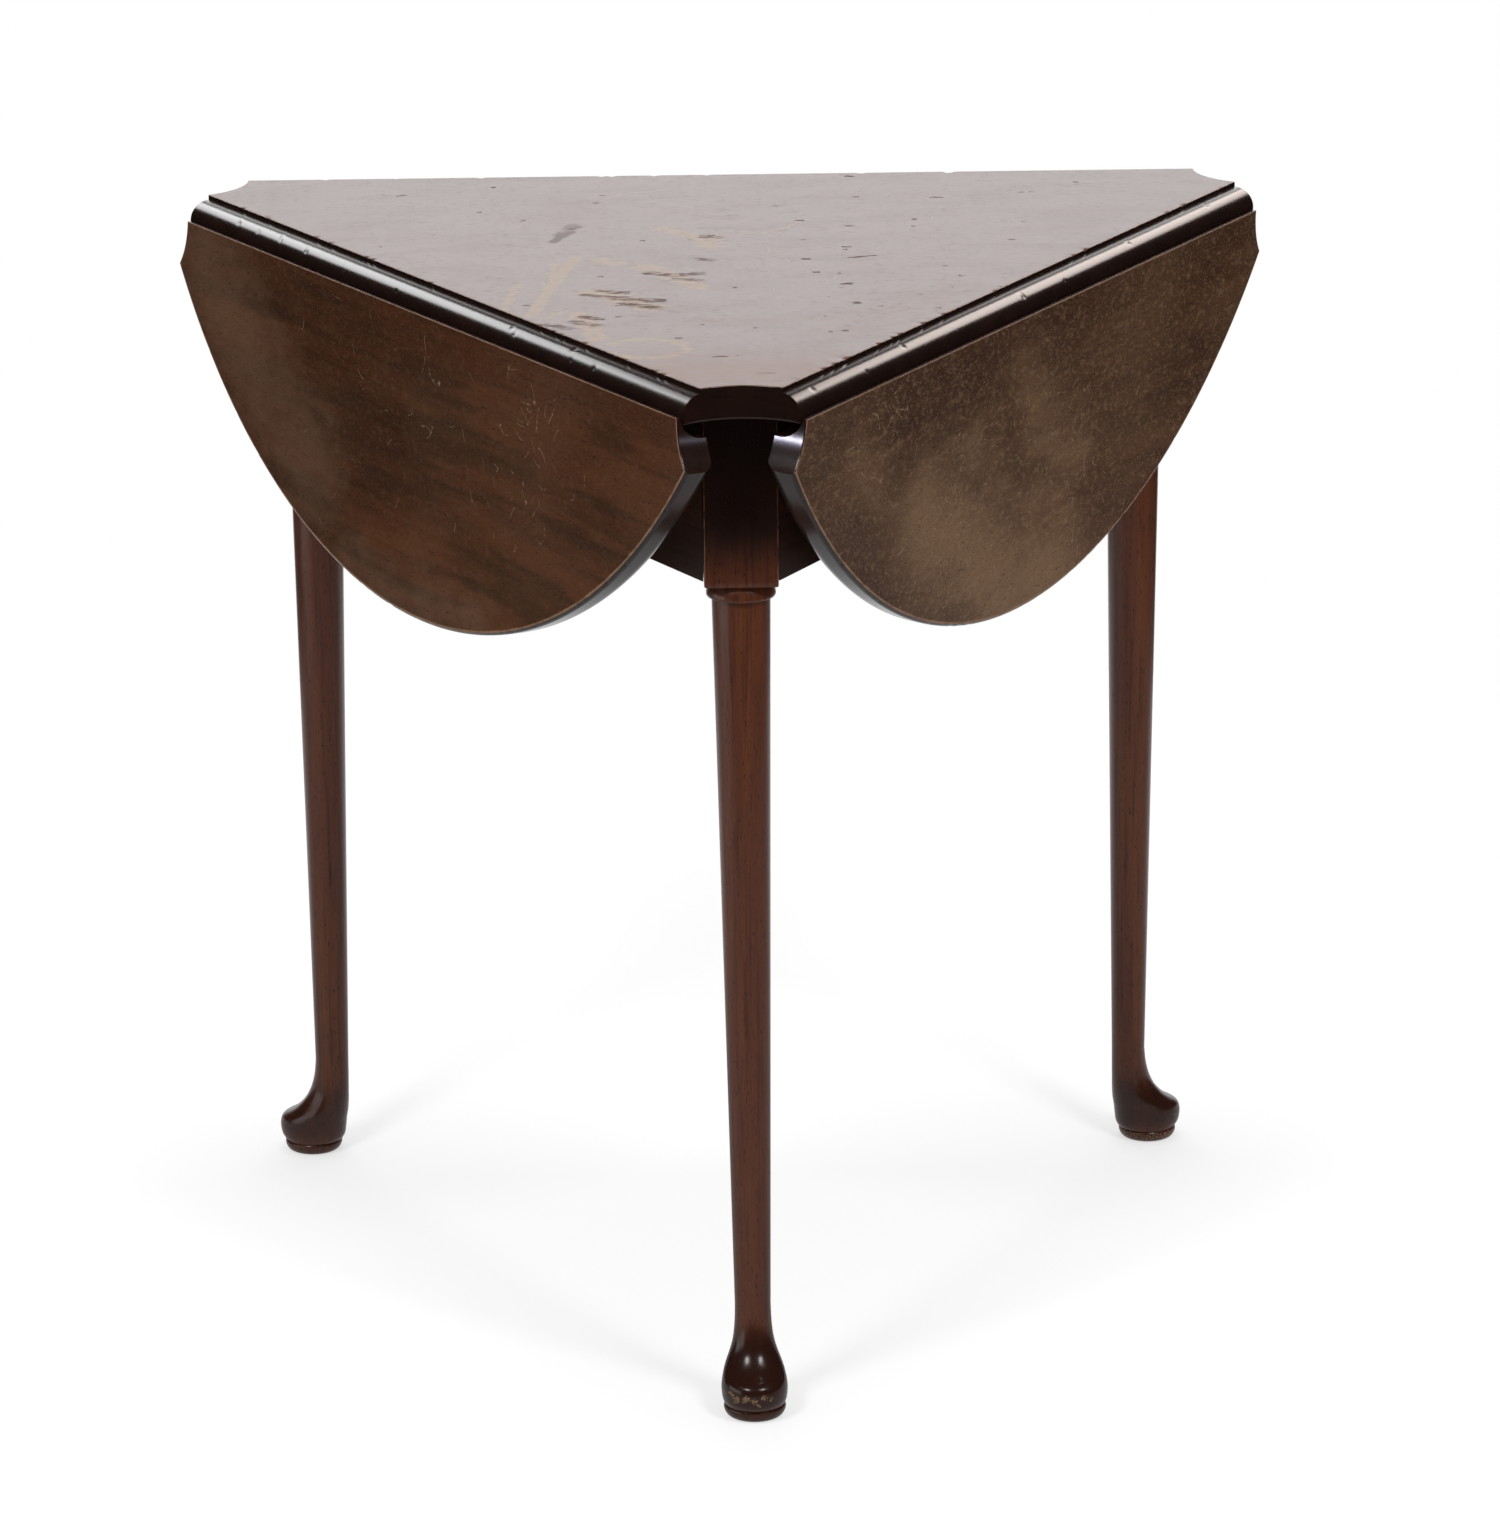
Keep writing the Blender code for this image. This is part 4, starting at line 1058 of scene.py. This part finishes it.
def smoothRows(rows, steps):
    # Catmull-Rom rows between the given ones
    rows = np.array(rows, float)
    padded = np.vstack((2 * rows[0] - rows[1], rows, 2 * rows[-1] - rows[-2]))
    result = []
    for i in range(1, len(padded) - 2):
        a, b, c, d = padded[i - 1:i + 3]
        for t in np.linspace(0, 1, steps, endpoint=False):
            result.append(0.5 * (2 * b + (c - a) * t + (2 * a - 5 * b + 4 * c - d) * t ** 2
                                 + (3 * b - a - 3 * c + d) * t ** 3))
    return result + [rows[-1]]


def legSections():
    # height, half length, half width and offset of every turned section, from the floor up
    d = legDetail
    ankle = d["ankleRadius"]
    rows = [(d["padHeight"] * h, d["padRadius"] * r, d["padRadius"] * r, d["padOffset"]) for h, r in d["pad"]]
    for h, *shares in smoothRows(d["foot"], 4):
        ends = (d["heel"], d["toe"], d["halfWidth"])
        back, front, half = (between(ankle, end, share) for end, share in zip(ends, shares))
        height = between(d["footBottom"], d["ankleHeight"], h)
        rows.append((height, (front + back) / 2, half, (front - back) / 2))
    collarFoot = table["apronBottom"] - d["blockDrop"] - d["collarHeight"]
    for share in (*np.linspace(0, 1, 28)[1:-1], 0.985, 0.998):
        radius = between(ankle, d["taperRadius"], share)
        rows.append((between(d["ankleHeight"], collarFoot, share), radius, radius))
    for h, r in d["collar"]:
        radius = between(d["taperRadius"], d["collarRadius"], r)
        rows.append((collarFoot + d["collarHeight"] * h, radius, radius))
    return rows


def squareLoop(half, easing, height):
    # the block's section, its corners rounded, with as many points as a turned ring
    quarter = legDetail["around"] // 4
    bend = quarter // 8  # steps of half a corner
    flat = quarter // 2 - bend
    inset = half - easing
    spots = [(half, inset * j / flat) for j in range(flat)]
    spots += arcPoints((inset, inset), easing, 0, pi / 2, 2 * bend)
    spots += [(inset * j / flat, half) for j in range(flat, 0, -1)]
    ring = []
    for _ in range(4):
        ring += [(x, y, height) for x, y in spots]
        spots = [(-y, x) for x, y in spots]
    return ring


def ramp(values, start, reach, least=0):
    return np.clip((values - start) / reach, least, 1)


def makeLeg(name):
    d = legDetail
    rng = np.random.default_rng(d["seed"][name])
    rings = [(ellipse(d["around"], *row), 0.0) for row in legSections()]
    half, ease = table["block"] / 2, d["blockEasing"]
    bottom, top = table["apronBottom"] - d["blockDrop"], table["apronTop"]
    for inset, rise, worn in ((ease, 0, 0.2), (ease * 0.3, ease * 0.3, 0.6), (0, ease, 0.3)):
        rings.append((squareLoop(half - inset, ease * 1.6, bottom + rise), worn))
    for height in np.linspace(bottom + 0.004, top - 0.004, 26):
        rings.append((squareLoop(half, ease, height), 0.0))
    for inset, drop, worn in ((0, ease, 0.2), (ease * 0.3, ease * 0.3, 0.2), (ease, 0, 0.0)):
        rings.append((squareLoop(half - inset, ease, top - drop), worn))
    points, faces, _, wear = wornLoft(rings, (None, None))
    points[:, 1] += d["lean"][name] * np.clip(1 - points[:, 2] / bottom, 0, 1)
    heights = points[:, 2]
    quarter = d["around"] // 4
    fromCorner = np.abs(np.arange(len(points)) % quarter - quarter // 2)
    wear[(heights > bottom + 0.003) & (fromCorner < quarter // 8), 3] = 0.75
    # old polish gathers in the foot but not on the toe's edge, and painted shade darkens the block under the
    # top
    wear[:, 2] = ramp(heights, *d["footPolish"]) * ramp(heights, *d["toePolish"]) * d["footStain"][name]
    wear[:, 2] += ramp(heights - bottom, *d["blockPaintedShade"]) + 0.3 * ramp(heights, *d["shankPolish"])
    # painted shade under the top, carried with the nicks in the chip channel
    wear[:, 1] = ramp(heights - bottom, *d["blockPaintedShadeDark"])
    # chips round the foot's fullest part and the pad
    chip = d["chips"]
    chips = []
    for _ in range(chip["count"]):
        y, z = rng.uniform(*chip["across"][rng.integers(4)]), rng.normal(*chip["height"])
        size, end = drawEach(rng, chip["size"]), (y + rng.uniform(-2, 2), z + rng.uniform(-1, 1))
        chips.append((*size, [(y, z), end]))
    outer = points[:, 0] > d["padOffset"] - 0.004
    wear[outer, 0] = strokeMask(points[outer][:, 1:], chips)
    pad = heights < d["padHeight"] * 1.05
    wear[pad, 0] = np.maximum(wear[pad, 0], d["padWear"][name])
    count, spans = d["nicks"]
    low, high = d["nickedLength"]
    nicks = []
    for _ in range(count):
        angle, height = rng.uniform(0, 2 * pi), rng.uniform(0.08, 0.54)
        radius = between(d["ankleRadius"], d["taperRadius"], (height - low) / (high - low))
        place = (radius * cos(angle), radius * sin(angle), height)
        nicks.append((place, *drawEach(rng, spans), (-cos(angle), -sin(angle), 0)))
    dentEdges(points, wear, nicks)
    turn = Matrix.Rotation(radians(table["legs"][name]), 4, "Z")
    matrix = tableMatrix @ turn @ Matrix.Translation((table["legAxis"], 0, 0))
    return faceUp(addPiece("leg" + name.capitalize(), points, faces, matrix, [turnedLeg], None, wear))


for name in table["legs"]:
    leg = makeLeg(name)
    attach(leg, "stand")
    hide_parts("leg_" + name)
print("legs made")


# Slotted screws


screwDetail = {"head": 0.0034, "shank": 0.0015, "length": 0.0130, "slot": 0.0008, "slotDepth": 0.0009}


def screwMesh():
    d = screwDetail
    rows = [
        (0.0, d["head"] - 0.00025), (0.0001, d["head"]), (0.0004, d["head"]),
        (d["head"] - d["shank"], d["shank"]), (d["length"] - 0.003, d["shank"]),
        (d["length"], d["shank"] * 0.3),
    ]
    points, faces, _ = lofted([ellipse(24, z, r, r) for z, r in rows], (None, None))
    obj = faceUp(addPiece("screwPattern", points, faces, Matrix.Identity(4), [agedBrass]))
    half = d["slot"] / 2
    cutBoxes(obj, [((-0.01, -half, -0.001), (0.01, half, d["slotDepth"]))])
    mesh = obj.data
    bpy.data.objects.remove(obj, do_unlink=True)
    return mesh


screwRng = np.random.default_rng(5)
slottedScrew = screwMesh()
neck = under + 2 * table["gap"]
for side in table["sides"]:
    for part, direction, reach, base, body in (
        ("top", -1, hinge["topReach"], sideMatrix[side], "top"),
        ("leaf", 1, hinge["leafReach"], leafMatrix[side], "leaf_" + side),
    ):
        number = 0
        for sign in (-1, 1):
            for along, across in ((0.34, -0.27), (0.68, 0.27)):
                number += 1
                x = direction * (neck + (reach - neck) * along)
                y = sign * hinge["offset"] + across * hinge["width"]
                spin = Matrix.Rotation(screwRng.uniform(0, pi), 4, "Z")
                matrix = base @ Matrix.Translation((x, y, -under)) @ spin
                screw = addObject(f"{part}Screw{side.capitalize()}{number}", slottedScrew, matrix)
                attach(screw, body)
                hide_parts(f"{part}_flap_screw_{side}_{number}")
print("screws made")


# CAD nodes that keep their shape: finish, and how far their edges are broken, in millimetres
dressed = {
    "hinge_top_flap": (agedBrass, 0.15),
    "hinge_leaf_flap": (agedBrass, 0.15),
    "hinge_pin": (agedSteel, 0),
    "rail_back": (stainedRail["back"], 0.6),
    "rail_left": (stainedRail["left"], 0.6),
    "rail_right": (stainedRail["right"], 0.6),
    "glue_block": (sawnPine["upright"], 0.8),
    "pivot_bearer": (sawnPine["crosswise"], 0.8),
    "pivot_bolt": (agedSteel, 0),
    "pivot_washer": (agedSteel, 0.2),
    "pivot_nut": (agedSteel, 0.3),
}
for nodeName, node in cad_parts.items():
    for prefix, (material, ease) in dressed.items():
        if nodeName.startswith(prefix):
            for materialSlot in node.material_slots:
                materialSlot.link = "OBJECT"
                materialSlot.material = material
            if ease:
                weld = node.modifiers.new("weld", "WELD")
                weld.merge_threshold = 0.00001
                bevel = node.modifiers.new("broken edges", "BEVEL")
                bevel.width = ease / 1000
                bevel.segments = 2
                bevel.limit_method = "ANGLE"
                bevel.angle_limit = radians(40)
                bevel.harden_normals = False
print("carried-over nodes dressed")


# Floor, light and camera


def anyRay(tree, rays, *kinds):
    # 1 for rays of these kinds, 0 for the others
    found, *others = (rays.outputs[f"Is {kind} Ray"] for kind in kinds)
    for other in others:
        found = addNode(tree, "Math", {0: found, 1: other}, operation="MAXIMUM").outputs[0]
    return found


def showMix(tree, share, first, second):
    # the studio's materials show a mix of two shaders instead of the usual one
    mixed = addNode(tree, "MixShader", {0: share, 1: first.outputs[0], 2: second.outputs[0]})
    tree.nodes.remove(tree.nodes["Principled BSDF"])
    feed(tree, tree.nodes["Material Output"].inputs["Surface"], mixed.outputs[0])


# how bright the paper looks to the camera, and in reflections near the front and at the back, where the
# dimmer front is painted shade of the table
floor = {
    "radius": 1.5,
    "drop": 0.0002,  # keeps it clear of the feet
    "steps": 96,
    "glow": 0.25,
    "seen": 2.37,
    # painted shade: reflections see the paper dim in front of and under the table, and full behind it
    "mirrored": (0.40, 1.0),
    "fade": (0.1, 0.9),
}


def makeFloor():
    # white paper sweep: bright to the camera and to reflections, yet it keeps a pale shadow; to reflections
    # it glows dimmer near the table, a painted shade
    material, tree, spot = newMaterial("white_paper_floor")
    rays = addNode(tree, "LightPath")
    mirrored = anyRay(tree, rays, "Glossy", "Transmission")
    depth = addNode(tree, "SeparateXYZ", {0: spot}).outputs["Y"]
    ends = zip(("From Min", "From Max", "To Min", "To Max"), floor["fade"] + floor["mirrored"])
    # painted shade: the glow that reflections see rises from the table's front to behind it
    shadedReflection = addNode(tree, "MapRange", {"Value": depth, **dict(ends)}, interpolation_type="SMOOTHSTEP")
    ends = {"Value": mirrored, "To Min": floor["seen"], "To Max": shadedReflection.outputs[0]}
    brightness = addNode(tree, "MapRange", ends)
    share = {0: rays.outputs["Is Camera Ray"], 1: floor["glow"], 2: mirrored}
    share = addNode(tree, "Math", share, operation="MULTIPLY_ADD").outputs[0]
    diffuse = addNode(tree, "BsdfDiffuse", {"Color": linear("#f0f0f0")})
    glow = addNode(tree, "Emission", {"Color": (1, 1, 1, 1), "Strength": brightness.outputs[0]})
    showMix(tree, share, diffuse, glow)
    steps = floor["steps"]
    points = [(0, 0, -floor["drop"]), *ellipse(steps, -floor["drop"], floor["radius"], floor["radius"])]
    faces = [(0, i + 1, (i + 1) % steps + 1) for i in range(steps)]
    return addPiece("paperFloor", points, faces, Matrix.Identity(4), [material], smooth=False)


# its window fades out along Y and Z
darkWall = {
    "radius": 7.0,
    "rows": 16,
    "columns": 32,
    "colour": "#1c1b1b",
    "window": {"Y": (5.3, 6.4), "Z": (3.6, 2.5)},
}


def makeDarkWall():
    # the unlit studio, which only reflections see, with a pale window low behind the table
    material, tree, spot = newMaterial("dark_studio_wall")
    split = addNode(tree, "SeparateXYZ", {0: spot})
    fades = []
    for axis, (full, gone) in darkWall["window"].items():
        ends = {"Value": split.outputs[axis], "From Min": full, "From Max": gone}
        fades.append(addNode(tree, "MapRange", ends, interpolation_type="SMOOTHSTEP").outputs[0])
    fade = addNode(tree, "Math", dict(enumerate(fades)), operation="MULTIPLY")
    dark = addNode(tree, "Emission", {"Color": linear(darkWall["colour"]), "Strength": 1.0})
    showMix(tree, fade.outputs[0], dark, addNode(tree, "BsdfTransparent"))
    rows, columns = darkWall["rows"], darkWall["columns"]
    points, faces = [], []
    for row in range(rows + 1):
        tilt = pi * row / rows
        for column in range(columns + 1):
            turn = -pi / 2 + pi * (column * 2 / columns - 1)
            spot = (sin(tilt) * cos(turn), sin(tilt) * sin(turn), cos(tilt))
            points.append([darkWall["radius"] * v for v in spot])
    for row in range(rows):
        for column in range(columns):
            first = row * (columns + 1) + column
            faces.append((first, first + 1, first + columns + 2, first + columns + 1))
    wall = addPiece("darkWall", points, faces, Matrix.Identity(4), [material])
    for ray in ("camera", "diffuse", "transmission", "volume_scatter", "shadow"):
        setattr(wall, "visible_" + ray, False)
    return wall


makeFloor()
makeDarkWall()

world = bpy.data.worlds.new("pale studio")
bpy.context.scene.world = world
world.use_nodes = True
sky = world.node_tree
seen = anyRay(sky, addNode(sky, "LightPath"), "Camera", "Glossy", "Transmission")
brightness = addNode(sky, "MapRange", {"Value": seen, "To Min": 0.30, "To Max": 1.0})
for socket, value in (("Color", (1, 1, 1, 1)), ("Strength", brightness.outputs[0])):
    feed(sky, sky.nodes["Background"].inputs[socket], value)

# soft boxes: place, size, how bright their cloth looks, and for the ones that only draw a sheen,
# the pieces that show it
mouldings = ["topBoard"]
hollows = ["leafBoardLeft", "leafBoardRight", "leafBoardBack"]
turnedLegs = ["legFront", "legLeft", "legRight"]
lamps = {
    "overheadBox": {"place": (0.0, 0.45, 2.8), "size": (1.2, 0.8), "glow": 6.0},
    "leftBox": {"place": (-1.20, -1.65, 2.45), "size": (0.6, 0.6), "glow": 17.0},
    "rightBox": {"place": (1.20, -1.65, 2.45), "size": (0.6, 0.6), "glow": 17.0},
    "backPanel": {"place": (0.0, 3.4, 1.70), "size": (4.0, 1.2), "glow": 1.38},
    "leftStrip": {"place": (-1.78, 2.08, 2.13), "size": (1.25, 0.75), "glow": 5.0, "sheenOn": mouldings},
    "rightStrip": {
        "place": (1.78, 2.09, 2.11), "size": (1.25, 0.75), "glow": 5.0,
        "tint": "#fff0e8", "sheenOn": mouldings,
    },
    "leftWindow": {
        "place": (-1.90, -1.45, 1.24), "size": (0.45, 0.20), "glow": 60.0,
        "tint": "#ece9ff", "sheenOn": hollows,
    },
    "rightWindow": {
        "place": (1.90, -1.45, 1.24), "size": (0.45, 0.20), "glow": 3.0,
        "tint": "#ece9ff", "sheenOn": hollows,
    },
    "leftBounce": {"place": (-1.50, -0.50, 0.32), "size": (1.4, 0.55), "glow": 1.4, "sheenOn": turnedLegs},
}


def aimed(place, aim):
    # stands at place and looks along aim
    return Matrix.Translation(place) @ aim.to_track_quat("-Z", "Y").to_matrix().to_4x4()


for name, lamp in lamps.items():
    light = bpy.data.lights.new(name, "AREA")
    light.shape = "RECTANGLE"
    light.size, light.size_y = lamp["size"]
    light.color = linear(lamp.get("tint", "#ffffff"))[:3]
    light.energy = lamp["glow"] * pi * lamp["size"][0] * lamp["size"][1]  # watts of a matt panel
    aim = Vector((*table["axis"], 0.5)) - Vector(lamp["place"])
    obj = addObject(name, light, aimed(lamp["place"], aim))
    obj.visible_camera = False
    obj.visible_diffuse = "sheenOn" not in lamp
    if "sheenOn" in lamp:
        shown = bpy.data.collections.new(name + "Shown")
        for piece in lamp["sheenOn"]:
            shown.objects.link(bpy.data.objects[piece])
        obj.light_linking.receiver_collection = shown

# camera found by fitting the top, the steps, the scoops and the feet to the photograph
view = {
    "lens": 168.9,
    "sensor": 36,
    "place": (-0.0905, -4.7268, 1.7817),
    "pitch": 0.29753,
    "yaw": 0.02169,
    "roll": -0.00813,
}
camera = bpy.data.cameras.new("camera")
camera.lens = view["lens"]
camera.sensor_width = view["sensor"]
level = cos(view["pitch"])
aim = Vector((sin(view["yaw"]) * level, cos(view["yaw"]) * level, -sin(view["pitch"])))
place = Vector(view["place"]) + Vector((*table["axis"], 0))
cameraObject = addObject("camera", camera, aimed(place, aim) @ Matrix.Rotation(view["roll"], 4, "Z"))
bpy.context.scene.camera = cameraObject
bpy.context.scene.view_settings.view_transform = "Standard"

print("scene ready")
